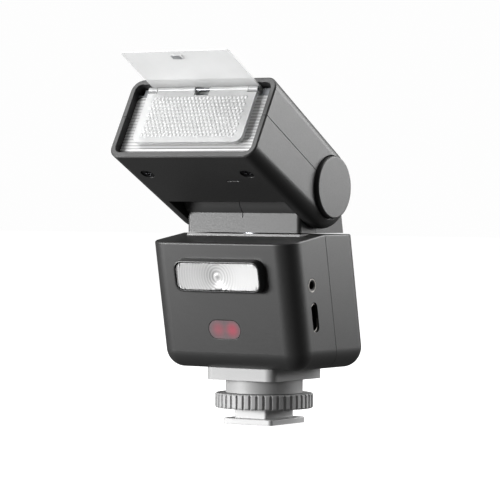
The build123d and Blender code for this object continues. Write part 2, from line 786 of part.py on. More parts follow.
with BuildPart() as swivel_retainer:
    disc_on(Plane.XY.offset(retainer_top - retainer_thickness), retainer_radius, retainer_thickness)
    disc_on(
        Plane.XY.offset(retainer_top - retainer_thickness), retainer_bore, retainer_thickness,
        mode=Mode.SUBTRACT
    )
    with BuildSketch(Plane.XY.offset(retainer_top - retainer_thickness)):
        with PolarLocations(retainer_radius, 4):
            Rectangle(2.0, 2.4)
    extrude(amount=retainer_thickness, mode=Mode.SUBTRACT)
finish_piece(swivel_retainer, "swivel_retainer")

with BuildPart() as swivel_spring:
    spring_inner = hub_radius + free
    with BuildSketch(Plane.XZ):
        Polygon(
            (spring_inner, bearing_bottom - 0.5),
            (spring_inner, bearing_bottom - 0.1),
            (retainer_radius - 0.2, retainer_top + 0.4),
            (retainer_radius - 0.2, retainer_top),
            align=None,
        )
    revolve(axis=Axis.Z)
finish_piece(swivel_spring, "swivel_spring")


# =================================================================================================
# Neck
# =================================================================================================
def neck_block(inset):
    """The neck with its hinge barrel as a solid block, drawn in by inset on every side."""
    shoulder_z = platform_z + neck_shoulder
    touch = tangent_point(
        leaned(case_rear_y, shoulder_z), shoulder_z, hinge_y, hinge_z, barrel_radius, -1
    )
    with BuildPart() as block:
        with BuildSketch(Plane.YZ):
            with Locations((hinge_y, hinge_z)):
                Circle(barrel_radius)
            Polygon(
                (neck_front_y, neck_bottom),
                (leaned(case_rear_y, neck_bottom), neck_bottom),
                (leaned(case_rear_y, shoulder_z), shoulder_z),
                touch,
                (hinge_y, hinge_z),
                (neck_front_y, hinge_z),
                align=None,
            )
            if inset:
                offset(amount=-inset, kind=Kind.INTERSECTION)
        extrude(amount=neck_half - inset, both=True)
        if not inset:
            corners = block.edges().filter_by(Axis.Z)
            fillet(corners, neck_corner)
    return block.part


neck_outer = neck_block(0)
neck_inner = neck_block(neck_wall)
axle_boss_radius = axle_radius + 2.2
axle_boss_inner = neck_half - neck_wall - 4.0
neck_screw_x = 15.0
neck_screw_z = neck_floor + 3.4
neck_screw_radius = 0.9
neck_screw_head = 1.7
neck_screw_y = leaned(case_rear_y, neck_screw_z) - 2.0
neck_screw_places = [(-neck_screw_x, neck_screw_z), (neck_screw_x, neck_screw_z)]


def cut_axle_bores():
    """Add the two axle bosses inside the neck's side walls and bore them for the tilt axles."""
    for side in (-1, 1):
        start = side_plane(side * axle_boss_inner)
        length = side * (neck_half - neck_wall / 2 - axle_boss_inner)
        disc_on(start, axle_boss_radius, length, [(hinge_y, hinge_z)])
    disc_on(side_plane(-head_half), axle_radius + 0.05, 2 * head_half, [(hinge_y, hinge_z)], Mode.SUBTRACT)


with BuildPart() as neck_front:
    add(neck_outer)
    add(neck_inner, mode=Mode.SUBTRACT)
    cut_axle_bores()
    disc_on(
        Plane.XZ.offset(-hinge_y), 2.2, hinge_y - neck_front_y - neck_wall / 2, neck_screw_places
    )
    disc_on(Plane.XZ.offset(-hinge_y), neck_screw_radius, 5.0, neck_screw_places, Mode.SUBTRACT)
    disc_on(Plane.XY.offset(neck_bottom - 1), hub_radius, 4, mode=Mode.SUBTRACT)
    # the fine parting line down the middle of the barrel's front
    with BuildSketch(Plane.YZ):
        with Locations((hinge_y, hinge_z)):
            Circle(barrel_radius + 1)
            Circle(barrel_radius - 0.4, mode=Mode.SUBTRACT)
    extrude(amount=0.1, both=True, mode=Mode.SUBTRACT)
    split(bisect_by=Plane.XZ.offset(-hinge_y), keep=Keep.TOP)
finish_piece(neck_front, "neck_front")

with BuildPart() as neck_rear:
    add(neck_outer)
    add(neck_inner, mode=Mode.SUBTRACT)
    cut_axle_bores()
    disc_on(
        Plane.XZ.offset(-hinge_y), 2.2, -(neck_screw_y - hinge_y + 1.0), neck_screw_places
    )
    disc_on(Plane.XZ.offset(-hinge_y), neck_screw_radius, -20, neck_screw_places, Mode.SUBTRACT)
    disc_on(Plane.XZ.offset(-neck_screw_y), neck_screw_head, -5, neck_screw_places, Mode.SUBTRACT)
    disc_on(Plane.XY.offset(neck_bottom - 1), hub_radius, 4, mode=Mode.SUBTRACT)
    split(bisect_by=Plane.XZ.offset(-hinge_y - seam), keep=Keep.BOTTOM)
finish_piece(neck_rear, "neck_rear")

with BuildPart() as neck_screws:
    disc_on(Plane.XZ.offset(-neck_screw_y), neck_screw_head - 0.1, -1.2, neck_screw_places)
    disc_on(
        Plane.XZ.offset(-neck_screw_y), neck_screw_radius, neck_screw_y - hinge_y + 4.5, neck_screw_places
    )
    for place in neck_screw_places:
        box_on(Plane.XZ.offset(-neck_screw_y - 0.7), 2.0, 0.4, -1, at=place, mode=Mode.SUBTRACT)
        box_on(Plane.XZ.offset(-neck_screw_y - 0.7), 0.4, 2.0, -1, at=place, mode=Mode.SUBTRACT)
finish_piece(neck_screws, "neck_screws")

# ---- Tilt hinge ----------------------------------------------------------------------------------
detent_radius = 6.8
detent_thickness = 1.6
detent_notches = 24
detent_x = axle_boss_inner - free - detent_thickness
axle_inner = detent_x - 0.2
axle_outer = head_half - cap_depth

with BuildPart() as tilt_axles:
    for side in (-1, 1):
        disc_on(
            side_plane(side * axle_inner), axle_radius, side * (axle_outer - axle_inner),
            [(hinge_y, hinge_z)]
        )
    disc_on(side_plane(-head_half), axle_bore, 2 * head_half, [(hinge_y, hinge_z)], Mode.SUBTRACT)
finish_piece(tilt_axles, "tilt_axles")

with BuildPart() as detent_discs:
    for side in (-1, 1):
        with BuildSketch(side_plane(side * detent_x)):
            with Locations((hinge_y, hinge_z)):
                Circle(detent_radius)
                Circle(axle_radius, mode=Mode.SUBTRACT)
                with PolarLocations(detent_radius, detent_notches):
                    Circle(0.5, mode=Mode.SUBTRACT)
        extrude(amount=side * detent_thickness)
finish_piece(detent_discs, "detent_discs")

with BuildPart() as detent_springs:
    spring_z = hinge_z + detent_radius + 0.8
    spring_half = 4.5
    post_top = hinge_z + sqrt((barrel_radius - neck_wall) ** 2 - spring_half**2) - 0.1
    for side in (-1, 1):
        with BuildSketch(side_plane(side * detent_x)):
            with Locations((hinge_y, spring_z)):
                Rectangle(2 * spring_half, 0.5)
            with Locations((hinge_y, spring_z - 0.15)):
                Circle(0.4)
            with Locations((hinge_y - spring_half + 0.5, (spring_z + post_top) / 2)):
                Rectangle(1.0, post_top - spring_z)
        extrude(amount=side * detent_thickness)
finish_piece(detent_springs, "detent_springs")


# =================================================================================================
# Head
# =================================================================================================
def head_line(corner_v, turn):
    """Where the head's top or bottom line touches its round rear end, and its slope."""
    touch = tangent_point(head_reach, corner_v, 0, 0, head_rear_radius, turn)
    return touch, (corner_v - touch[1]) / (head_reach - touch[0])


def underside(u):
    """The v of the head's outer underside at u."""
    touch, slope = head_line(-head_bottom, 1)
    return touch[1] + (u - touch[0]) * slope


def head_block(inset, reach):
    """The head as a solid block out to reach, drawn in by inset on every side but the front."""
    top_touch, top_slope = head_line(head_top, -1)
    low_touch, low_slope = head_line(-head_bottom, 1)
    front = reach + inset
    with BuildPart() as block:
        with BuildSketch(head_side()):
            Circle(head_rear_radius)
            Polygon(
                top_touch,
                (front, top_touch[1] + (front - top_touch[0]) * top_slope),
                (front, low_touch[1] + (front - low_touch[0]) * low_slope),
                low_touch,
                align=None,
            )
            if inset:
                offset(amount=-inset, kind=Kind.INTERSECTION)
        extrude(amount=head_half - inset, both=True)
        front_centre = Vector(*head_point(0, reach, 0))
        along = Vector(*u_axis)
        sides = block.edges().filter_by(lambda e: abs(abs(e.center().X) - (head_half - inset)) < 1e-4)
        sides = sides.filter_by(lambda e: (e.center() - front_centre).dot(along) < -0.5)
        fillet(sides, head_corner - inset)
    return block.part


def head_box(x_span, u_span, v_span, corner=0.0):
    """A block across, along and up the head between the given ends, its long edges rounded by corner."""
    width, height = x_span[1] - x_span[0], v_span[1] - v_span[0]
    middle = ((x_span[0] + x_span[1]) / 2, (v_span[0] + v_span[1]) / 2)
    with BuildPart(mode=Mode.PRIVATE) as block:
        box_on(head_front(u_span[0]), width, height, u_span[1] - u_span[0], at=middle, corner=corner)
    return block.part


head_outer = head_block(0, head_reach)
head_inner = head_block(head_wall, head_reach + 4)
recess_wall = 1.6
cavity_start = recess_reach + recess_wall
channel_top = card_v + card_thickness / 2 + glide
channel_half = panel_half_width + 0.15
head_cavity = head_inner & head_box((-head_half, head_half), (cavity_start, head_reach + 9), (-20, 20))
hinge_gap = head_box((-arm_inner, arm_inner), (-20, recess_reach), (-20, 10.0))
roof_gap = head_box((-arm_inner, arm_inner), (-20, roof_reach), (-1, 20))
card_channel = head_box((-channel_half, channel_half), (cavity_start, head_reach + 1), (8, channel_top))


def cut_head_shell():
    """Hollow the head, open it round the neck's barrel, and sink it for the axles and their caps."""
    add(head_cavity, mode=Mode.SUBTRACT)
    add(hinge_gap, mode=Mode.SUBTRACT)
    add(roof_gap, mode=Mode.SUBTRACT)
    add(card_channel, mode=Mode.SUBTRACT)
    disc_on(
        side_plane(-arm_inner), barrel_radius + free, 2 * arm_inner, [(hinge_y, hinge_z)], Mode.SUBTRACT
    )
    disc_on(side_plane(-head_half), axle_radius, 2 * head_half, [(hinge_y, hinge_z)], Mode.SUBTRACT)
    for side in (-1, 1):
        disc_on(
            side_plane(side * axle_outer), cap_radius + 0.3, side * (cap_depth + 1),
            [(hinge_y, hinge_z)], Mode.SUBTRACT,
        )


with BuildPart() as head_upper:
    add(head_outer)
    chamfer(head_upper.faces().sort_by(Axis(head_point(0, 0, 0), u_axis))[-1].edges(), rim_chamfer)
    cut_head_shell()
    split(bisect_by=head_deck(seam / 2), keep=Keep.TOP)
finish_piece(head_upper, "head_upper")

head_screw_floor = underside(head_screw_u) + head_screw_sink
head_screw_places = [(-head_screw_x, -head_screw_u), (head_screw_x, -head_screw_u)]
head_screw_radius = 1.0
head_screw_head = 2.1
head_screw_tip = head_screw_floor + 2.2

with BuildPart() as head_lower:
    add(head_outer)
    chamfer(head_lower.faces().sort_by(Axis(head_point(0, 0, 0), u_axis))[-1].edges(), rim_chamfer)
    cut_head_shell()
    disc_on(head_deck(-20), head_screw_radius, 12, head_screw_places, Mode.SUBTRACT)
    disc_on(head_deck(head_screw_floor), head_screw_head + 0.2, -5, head_screw_places, Mode.SUBTRACT)
    # the short blind slit near the right-hand screw
    box_on(
        head_deck(underside(slit_u) + head_wall / 3), slit_length, slit_width, -head_wall,
        at=(slit_x, -slit_u), mode=Mode.SUBTRACT,
    )
    split(bisect_by=head_deck(-seam / 2), keep=Keep.BOTTOM)
finish_piece(head_lower, "head_lower")

with BuildPart() as hinge_caps:
    for side in (-1, 1):
        disc_on(
            side_plane(side * axle_outer), cap_radius, side * (cap_depth + cap_proud), [(hinge_y, hinge_z)]
        )
    cap_rims = hinge_caps.edges().filter_by(GeomType.CIRCLE)
    cap_rims = cap_rims.filter_by(lambda e: abs(e.center().X) > head_half)
    fillet(cap_rims, 0.5)
finish_piece(hinge_caps, "hinge_caps")

with BuildPart() as head_screws:
    disc_on(head_deck(head_screw_floor), head_screw_head, -0.9, head_screw_places)
    disc_on(
        head_deck(head_screw_floor), head_screw_radius, head_screw_tip - head_screw_floor, head_screw_places
    )
    for place in head_screw_places:
        box_on(head_deck(head_screw_floor - 0.4), 2.4, 0.5, -1, at=place, mode=Mode.SUBTRACT)
        box_on(head_deck(head_screw_floor - 0.4), 0.5, 2.4, -1, at=place, mode=Mode.SUBTRACT)
finish_piece(head_screws, "head_screws")

# ---- Lens, reflector, tube -----------------------------------------------------------------------
inner_half = head_half - head_wall
lens_back = lens_front - lens_thickness
lens_bottom = -(head_bottom - head_wall) + 0.3
lens_margin = 0.1

with BuildPart() as flash_lens:
    add(head_box((-inner_half + lens_margin, inner_half - lens_margin), (lens_back, lens_front),
                 (lens_bottom, lens_top), head_corner - head_wall + lens_margin))
finish_piece(flash_lens, "flash_lens")

mirror_v = -2.0
mirror_opening = 9.6
mirror_throat = 4.4
mirror_throat_u = 27.0
mirror_back = 23.2
mirror_half = 22.4
mirror_skin = 0.5
mirror_front = lens_back - 0.2
tube_u = 27.0
tube_radius = 1.75


def mirror_trough(skin, half):
    """The reflector's hollow, opened out by skin, as a solid that is 2 * half wide."""
    with BuildPart() as trough:
        with BuildSketch(head_side()):
            with BuildLine():
                Line((mirror_front, mirror_v + mirror_opening), (mirror_throat_u, mirror_v + mirror_throat))
                ThreePointArc(
                    (mirror_throat_u, mirror_v + mirror_throat), (mirror_back, mirror_v),
                    (mirror_throat_u, mirror_v - mirror_throat),
                )
                Line((mirror_throat_u, mirror_v - mirror_throat), (mirror_front, mirror_v - mirror_opening))
                Line((mirror_front, mirror_v - mirror_opening), (mirror_front, mirror_v + mirror_opening))
            make_face()
            if skin:
                offset(amount=skin, kind=Kind.INTERSECTION)
        extrude(amount=half, both=True)
    return trough.part


mirror_outer = mirror_trough(mirror_skin, mirror_half + mirror_skin)
mirror_hollow = mirror_trough(0, mirror_half)

with BuildPart() as reflector:
    add(mirror_outer)
    add(mirror_hollow, mode=Mode.SUBTRACT)
    add(head_box((-head_half, head_half), (mirror_front, mirror_front + 3), (-20, 20)), mode=Mode.SUBTRACT)
    add(head_box((-mirror_half, mirror_half), (mirror_front - 1, mirror_front + 1),
                 (mirror_v - mirror_opening + 0.6, mirror_v + mirror_opening - 0.6)), mode=Mode.SUBTRACT)
    with BuildSketch(head_side(head_half)):
        with Locations((tube_u, mirror_v)):
            Circle(tube_radius + 0.15)
    extrude(amount=2 * head_half, mode=Mode.SUBTRACT)
finish_piece(reflector, "reflector")

with BuildPart() as flash_tube:
    with BuildSketch(head_side(inner_half - 0.5)):
        with Locations((tube_u, mirror_v)):
            Circle(tube_radius)
    extrude(amount=2 * (inner_half - 0.5))
finish_piece(flash_tube, "flash_tube")

with BuildPart() as tube_holders:
    holder_inner = mirror_half + mirror_skin + 0.1
    for side in (-1, 1):
        with BuildSketch(head_side(side * holder_inner)):
            with Locations((tube_u, mirror_v)):
                Circle(3.4)
                Circle(tube_radius, mode=Mode.SUBTRACT)
        extrude(amount=-side * (inner_half - 0.6 - holder_inner))
finish_piece(tube_holders, "tube_holders")

with BuildPart() as mirror_mount:
    mount_ends = (head_screw_u - 4.6, head_screw_u + 1.9)
    mount_bottom = underside(mount_ends[0]) + head_wall + lens_margin
    add(head_box((-inner_half + 1.5, inner_half - 1.5), mount_ends, (mount_bottom, mount_bottom + 1.4)))
    disc_on(
        head_deck(mount_bottom), head_screw_radius, head_screw_tip - mount_bottom, head_screw_places,
        Mode.SUBTRACT
    )
finish_piece(mirror_mount, "mirror_mount")

with BuildPart() as trigger_board:
    add(head_box((-20, 20), (cavity_start + 0.6, cavity_start + 1.8), (-10.5, 7.5)))
    # the trigger coil soldered to the board
    with BuildSketch(head_side(5.0)):
        with Locations((cavity_start + 1.8 + 2.1, mirror_v)):
            Circle(2.1)
    extrude(amount=10.0)
finish_piece(trigger_board, "trigger_board")

# ---- Card guide, bounce card and wide-angle panel ------------------------------------------------
guide_floor = lens_top + 0.2
guide_floor_top = guide_floor + 0.6
guide_block_inner = panel_half_width + 0.5
pivot_u = head_reach - panel_pivot_set_back
pivot_clear = panel_knuckle + free
guide_front = lens_front - 0.1

with BuildPart() as card_guide:
    add(head_box((-inner_half + 0.1, inner_half - 0.1), (cavity_start + 0.3, guide_front),
                 (guide_floor, guide_floor_top)))
    for side in (-1, 1):
        ends = sorted((side * guide_block_inner, side * (inner_half - 2.0)))
        add(head_box(ends, (cavity_start + 0.3, guide_front), (guide_floor, card_v - 0.25)))
finish_piece(card_guide, "card_guide")

card_front = head_reach + card_out

with BuildPart() as bounce_card:
    with BuildSketch(head_deck(card_v - card_thickness / 2)):
        with Locations((0, -(card_front - card_length / 2))):
            Rectangle(2 * card_half_width, card_length)
    extrude(amount=card_thickness)
    tip_corners = bounce_card.edges().filter_by(Axis((0, 0, 0), v_axis))
    fillet(tip_corners.sort_by(Axis((0, 0, 0), u_axis))[-2:], 1.2)
    # the raised grip under the card's front edge
    add(head_box((-1.6, 1.6), (card_front - 3.7, card_front - 2.0),
                 (card_v - card_thickness / 2 - 0.4, card_v - card_thickness / 2)))
finish_piece(bounce_card, "bounce_card")

knuckle_start = panel_half_width - panel_knuckle_width
half_panel = panel_thickness / 2
carrier_front = pivot_u - panel_knuckle - free

with BuildPart() as panel_carrier:
    add(head_box((-panel_half_width, panel_half_width), (carrier_front - carrier_length, carrier_front),
                 (panel_pivot_v - half_panel, panel_pivot_v + half_panel)))
    for side in (-1, 1):
        ends = sorted((side * knuckle_start, side * panel_half_width))
        add(
            head_box(
                ends, (carrier_front - 1, pivot_u), (panel_pivot_v - half_panel, panel_pivot_v + half_panel)
            )
        )
        with BuildSketch(head_side(side * knuckle_start)):
            with Locations((pivot_u, panel_pivot_v)):
                Circle(panel_knuckle)
        extrude(amount=-side * panel_knuckle_width)
    # the notch in the middle, which leaves a hole over the panel for a fingertip
    add(head_box((-panel_notch, panel_notch), (carrier_front - panel_notch_depth, carrier_front + 1),
                 (panel_pivot_v - 1, panel_pivot_v + 1)), mode=Mode.SUBTRACT)
    with BuildSketch(head_side(head_half)):
        with Locations((pivot_u, panel_pivot_v)):
            Circle(0.4)
    extrude(amount=2 * head_half, mode=Mode.SUBTRACT)
finish_piece(panel_carrier, "panel_carrier")

with BuildPart() as panel_pin:
    with BuildSketch(head_side(panel_half_width - 0.1)):
        with Locations((pivot_u, panel_pivot_v)):
            Circle(0.4)
    extrude(amount=2 * (panel_half_width - 0.1))
finish_piece(panel_pin, "panel_pin")

panel_top = panel_pivot_v - panel_knuckle - 0.6
panel_bottom = panel_pivot_v - panel_drop
panel_back = pivot_u - half_panel

with BuildPart() as wide_panel:
    with BuildSketch(head_front(panel_back)):
        with Locations((0, (panel_top + panel_bottom) / 2)):
            Rectangle(2 * panel_half_width, panel_top - panel_bottom)
    extrude(amount=panel_thickness)
    lower = wide_panel.edges().filter_by(Axis((0, 0, 0), u_axis)).sort_by(Axis((0, 0, 0), v_axis))[:2]
    fillet(lower, 2.6)
    add(head_box((-panel_notch, panel_notch), (panel_back - 1, pivot_u + 1),
                 (panel_top - panel_notch_depth, panel_top + 1)), mode=Mode.SUBTRACT)
    for side in (-1, 1):
        barrel_ends = sorted((side * panel_notch, side * (knuckle_start - 0.2)))
        add(
            head_box(
                barrel_ends, (panel_back, panel_back + panel_thickness), (panel_top - 0.5, panel_pivot_v)
            )
        )
        with BuildSketch(head_side(side * panel_notch)):
            with Locations((pivot_u, panel_pivot_v)):
                Circle(panel_knuckle)
        extrude(amount=-side * (knuckle_start - 0.2 - panel_notch))
    with BuildSketch(head_side(head_half)):
        with Locations((pivot_u, panel_pivot_v)):
            Circle(0.4 + 0.05)
    extrude(amount=2 * head_half, mode=Mode.SUBTRACT)
finish_piece(wide_panel, "wide_panel")
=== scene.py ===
"""Looks of the speedlight flash: its finishes and fine optics, the studio and the camera, round the frame."""
import json
import logging
import math
from collections.abc import Callable
from dataclasses import dataclass, field
from enum import Enum

import bmesh
import bpy
from mathutils import Matrix, Vector


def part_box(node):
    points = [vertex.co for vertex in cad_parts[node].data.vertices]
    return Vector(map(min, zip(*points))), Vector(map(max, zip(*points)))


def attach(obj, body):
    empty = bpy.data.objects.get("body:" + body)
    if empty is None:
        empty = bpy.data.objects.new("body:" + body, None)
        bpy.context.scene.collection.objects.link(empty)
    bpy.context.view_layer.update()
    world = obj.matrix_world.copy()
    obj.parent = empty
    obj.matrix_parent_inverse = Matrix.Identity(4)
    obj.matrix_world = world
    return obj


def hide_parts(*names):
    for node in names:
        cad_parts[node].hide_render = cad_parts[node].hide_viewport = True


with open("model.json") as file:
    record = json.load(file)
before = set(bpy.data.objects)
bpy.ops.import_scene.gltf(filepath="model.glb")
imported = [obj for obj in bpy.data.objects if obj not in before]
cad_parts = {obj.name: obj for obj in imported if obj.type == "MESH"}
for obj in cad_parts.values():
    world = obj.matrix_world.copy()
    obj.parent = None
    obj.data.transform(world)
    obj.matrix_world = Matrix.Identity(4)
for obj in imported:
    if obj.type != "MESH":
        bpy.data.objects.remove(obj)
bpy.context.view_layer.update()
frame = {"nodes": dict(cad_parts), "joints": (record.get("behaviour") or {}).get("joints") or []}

LOG = logging.getLogger("speedlight")
MM = 0.001
# two points this close, in metres, are one
TOUCHING = 1e-6
# how far each red emitter stands to the right of the focus-assist window's middle, in millimetres
EMITTER_OFFSETS = (2.9, -2.3)


class Side(Enum):
    """The two sides of the object, seen from behind it."""

    LEFT = -1
    RIGHT = 1


# ---- Hands: the few moves that every piece is made with ---------------------------------------------


def free_hands() -> None:
    """Leave edit mode and let go of everything."""
    if bpy.context.object and bpy.context.object.mode != "OBJECT":
        bpy.ops.object.mode_set(mode="OBJECT")
    bpy.ops.object.select_all(action="DESELECT")


def take(obj: bpy.types.Object) -> bpy.types.Object:
    """Select one object alone and make it active.

    Args:
        obj: The object to work on.

    Returns:
        The same object.
    """
    free_hands()
    bpy.context.view_layer.objects.active = obj
    obj.select_set(True)
    return obj


def modified(obj: bpy.types.Object, kind: str, **settings: object) -> bpy.types.Object:
    """Add one modifier, set it and apply it.

    Args:
        obj: The object to change.
        kind: The modifier's type.
        settings: Its settings by name.

    Returns:
        The same object.
    """
    take(obj)
    modifier = obj.modifiers.new(kind.lower(), kind)
    for key, value in settings.items():
        setattr(modifier, key, value)
    bpy.ops.object.modifier_apply(modifier=modifier.name)
    return obj


def repeated(obj: bpy.types.Object, count: int, step: tuple[float, float, float]) -> bpy.types.Object:
    """Repeat a piece in a straight row, step apart in metres."""
    return modified(
        obj, "ARRAY", count=count, use_relative_offset=False, use_constant_offset=True,
        constant_offset_displace=step,
    )


def pick(obj: bpy.types.Object, kind: str, test: Callable[[object], bool]) -> int:
    """In edit mode, select the vertices, edges or faces that pass a test and nothing else.

    Args:
        obj: The object in edit mode.
        kind: "verts", "edges" or "faces".
        test: A function of one bmesh element that says whether it is picked.

    Returns:
        How many were picked.
    """
    modes = {"verts": "VERT", "edges": "EDGE", "faces": "FACE"}
    bpy.ops.mesh.select_mode(type=modes[kind])
    bpy.ops.mesh.select_all(action="DESELECT")
    mesh = bmesh.from_edit_mesh(obj.data)
    found = [element for element in getattr(mesh, kind) if test(element)]
    for element in found:
        element.select_set(True)
    mesh.select_flush_mode()
    bmesh.update_edit_mesh(obj.data)
    return len(found)


def settled(obj: bpy.types.Object, place: Matrix, smooth_deg: float = 30.0) -> bpy.types.Object:
    """Put a piece at its place, with the place in its mesh and the object at the origin.

    Args:
        obj: The finished piece, in its local frame.
        place: The local frame's place in the row frame.
        smooth_deg: Edges flatter than this are shaded smooth.

    Returns:
        The same piece.
    """
    take(obj)
    obj.matrix_world = place
    bpy.ops.object.transform_apply(location=True, rotation=True, scale=True)
    bpy.ops.object.shade_smooth_by_angle(angle=math.radians(smooth_deg))
    return obj


def copied(node: str, name: str, place: Matrix) -> bpy.types.Object:
    """A merged copy of a CAD node's mesh, brought into a local frame to be worked on.

    Args:
        node: The CAD node.
        name: The new piece's name.
        place: The local frame's place in the row frame.

    Returns:
        The copy, in the local frame.
    """
    free_hands()
    mesh = frame["nodes"][node].data.copy()
    mesh.transform(place.inverted())
    mesh.materials.clear()
    obj = bpy.data.objects.new(name, mesh)
    bpy.context.scene.collection.objects.link(obj)
    take(obj)
    bpy.ops.object.mode_set(mode="EDIT")
    bpy.ops.mesh.select_all(action="SELECT")
    bpy.ops.mesh.remove_doubles(threshold=1e-7)
    bpy.ops.mesh.dissolve_limited(angle_limit=math.radians(0.5))
    bpy.ops.object.mode_set(mode="OBJECT")
    return obj


def span(node: str, place: Matrix) -> tuple[Vector, Vector]:
    """Lowest and highest corner of a CAD node in a local frame."""
    turned = place.inverted()
    points = [turned @ vertex.co for vertex in frame["nodes"][node].data.vertices]
    low = Vector(min(point[axis] for point in points) for axis in range(3))
    high = Vector(max(point[axis] for point in points) for axis in range(3))
    return low, high


def joint(name: str) -> dict:
    """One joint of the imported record."""
    return next(item for item in frame["joints"] if item["name"] == name)


def axes_at(origin: Vector, right: Vector, up: Vector) -> Matrix:
    """The place of a local frame whose x is right, y is up and z stands out of the face."""
    out = right.cross(up).normalized()
    turn = Matrix((right.normalized(), up.normalized(), out)).transposed()
    return Matrix.Translation(origin) @ turn.to_4x4()


# ---- Finishes ---------------------------------------------------------------------------------------


def linear(code: str) -> tuple[float, float, float, float]:
    """An sRGB hex colour as linear red, green, blue and alpha."""
    channels = [int(code[i : i + 2], 16) / 255 for i in (1, 3, 5)]
    turned = [c / 12.92 if c <= 0.04045 else ((c + 0.055) / 1.055) ** 2.4 for c in channels]
    return (*turned, 1.0)


def node(
    tree: bpy.types.NodeTree, kind: str, links: dict | None = None, **settings: object
) -> bpy.types.Node:
    """Add a node, set its sockets and properties, and link what feeds it.

    Args:
        tree: The node tree.
        kind: The node's type.
        links: Output sockets by the name or number of the input each feeds.
        settings: Properties by name, or socket values by name with _ for a space.

    Returns:
        The new node.
    """
    made = tree.nodes.new(kind)
    for key, value in settings.items():
        socket = made.inputs.get(key.replace("_", " "))
        if socket is not None and not hasattr(made, key):
            socket.default_value = value
        else:
            setattr(made, key, value)
    for key, source in (links or {}).items():
        tree.links.new(source, made.inputs[key])
    return made


def per_metre(size_mm: float) -> float:
    """The texture scale whose features are about size_mm across, on Object coordinates in metres."""
    return 1.0 / (size_mm * MM)


@dataclass(frozen=True)
class Finish:
    """What every finish has: a name, the colour of the plain material and how it answers light."""

    name: str
    colour: str
    roughness: float
    ior: float = 1.5
    metallic: float = 0.0

    def material(self) -> bpy.types.Material:
        """The Blender material, built once and reused after that."""
        known = bpy.data.materials.get(self.name)
        if known is not None:
            return known
        made = bpy.data.materials.new(self.name)
        made.use_nodes = True
        tree = made.node_tree
        tree.nodes.clear()
        shader = node(
            tree, "ShaderNodeBsdfPrincipled", Base_Color=linear(self.colour), Roughness=self.roughness,
            IOR=self.ior, Metallic=self.metallic,
        )
        node(tree, "ShaderNodeOutputMaterial", {"Surface": shader.outputs["BSDF"]})
        made.diffuse_color = linear(self.colour)
        self.detail(tree, shader, node(tree, "ShaderNodeTexCoord").outputs["Object"])
        return made

    def detail(self, tree: bpy.types.NodeTree, shader: bpy.types.Node, coords: bpy.types.NodeSocket) -> None:
        """Add the surface's own pattern. Each kind of finish has its own."""
        raise NotImplementedError

    def cloud(
        self, tree: bpy.types.NodeTree, coords: bpy.types.NodeSocket, size_mm: float, low: str, high: str
    ) -> bpy.types.NodeSocket:
        """A soft drift of colour between two tones, with patches about size_mm across."""
        noise = node(
            tree, "ShaderNodeTexNoise", {"Vector": coords}, Scale=per_metre(size_mm), Detail=3.0,
            Roughness=0.55,
        )
        mix = node(
            tree, "ShaderNodeMix", {"Factor": noise.outputs["Fac"]}, data_type="RGBA", clamp_factor=True
        )
        mix.inputs[6].default_value = linear(low)
        mix.inputs[7].default_value = linear(high)
        return mix.outputs[2]

    def relief(
        self, tree: bpy.types.NodeTree, shader: bpy.types.Node, height: bpy.types.NodeSocket,
        depth_mm: float, strength: float, rounding_mm: float = 0.0,
    ) -> None:
        """Feed a height into the shader's normal, over edges rounded by rounding_mm."""
        links = {"Height": height}
        if rounding_mm:
            rounded = node(tree, "ShaderNodeBevel", samples=6, Radius=rounding_mm * MM)
            links["Normal"] = rounded.outputs["Normal"]
        bump = node(tree, "ShaderNodeBump", links, Distance=depth_mm * MM, Strength=strength)
        tree.links.new(bump.outputs["Normal"], shader.inputs["Normal"])


@dataclass(frozen=True)
class MouldedPlastic(Finish):
    """Injection-moulded plastic from a spark-eroded tool: a fine even grain and softly rounded edges."""

    drift: str = "#303030"
    grain_mm: float = 0.42
    grain_depth_mm: float = 0.02
    edge_mm: float = 0.22

    def detail(self, tree: bpy.types.NodeTree, shader: bpy.types.Node, coords: bpy.types.NodeSocket) -> None:
        """Grain drawn a little coarser than the real 0.1 mm, so that it shows, and a faint drift in tone."""
        tree.links.new(self.cloud(tree, coords, 14.0, self.colour, self.drift), shader.inputs["Base Color"])
        grain = node(
            tree, "ShaderNodeTexNoise", {"Vector": coords}, Scale=per_metre(self.grain_mm), Detail=4.0,
            Roughness=0.6,
        )
        rough = node(
            tree, "ShaderNodeMapRange", {"Value": grain.outputs["Fac"]}, From_Min=0.3, From_Max=0.7,
            To_Min=self.roughness - 0.05, To_Max=self.roughness + 0.07,
        )
        tree.links.new(rough.outputs["Result"], shader.inputs["Roughness"])
        self.relief(tree, shader, grain.outputs["Fac"], self.grain_depth_mm, 0.55, self.edge_mm)


@dataclass(frozen=True)
class ClearPlastic(Finish):
    """Clear moulded plastic with a faint haze: part of the light goes straight through it."""

    through: float = 0.6
    swirl_mm: float = 6.0

    def detail(self, tree: bpy.types.NodeTree, shader: bpy.types.Node, coords: bpy.types.NodeSocket) -> None:
        """Flow marks a few millimetres across, which bend reflections only slightly."""
        shader.inputs["Transmission Weight"].default_value = self.through
        flow = node(
            tree, "ShaderNodeTexNoise", {"Vector": coords}, Scale=per_metre(self.swirl_mm), Detail=2.0,
            Distortion=0.4,
        )
        tree.links.new(self.cloud(tree, coords, 9.0, self.colour, "#f7f8f8"), shader.inputs["Base Color"])
        self.relief(tree, shader, flow.outputs["Fac"], 0.05, 0.25)


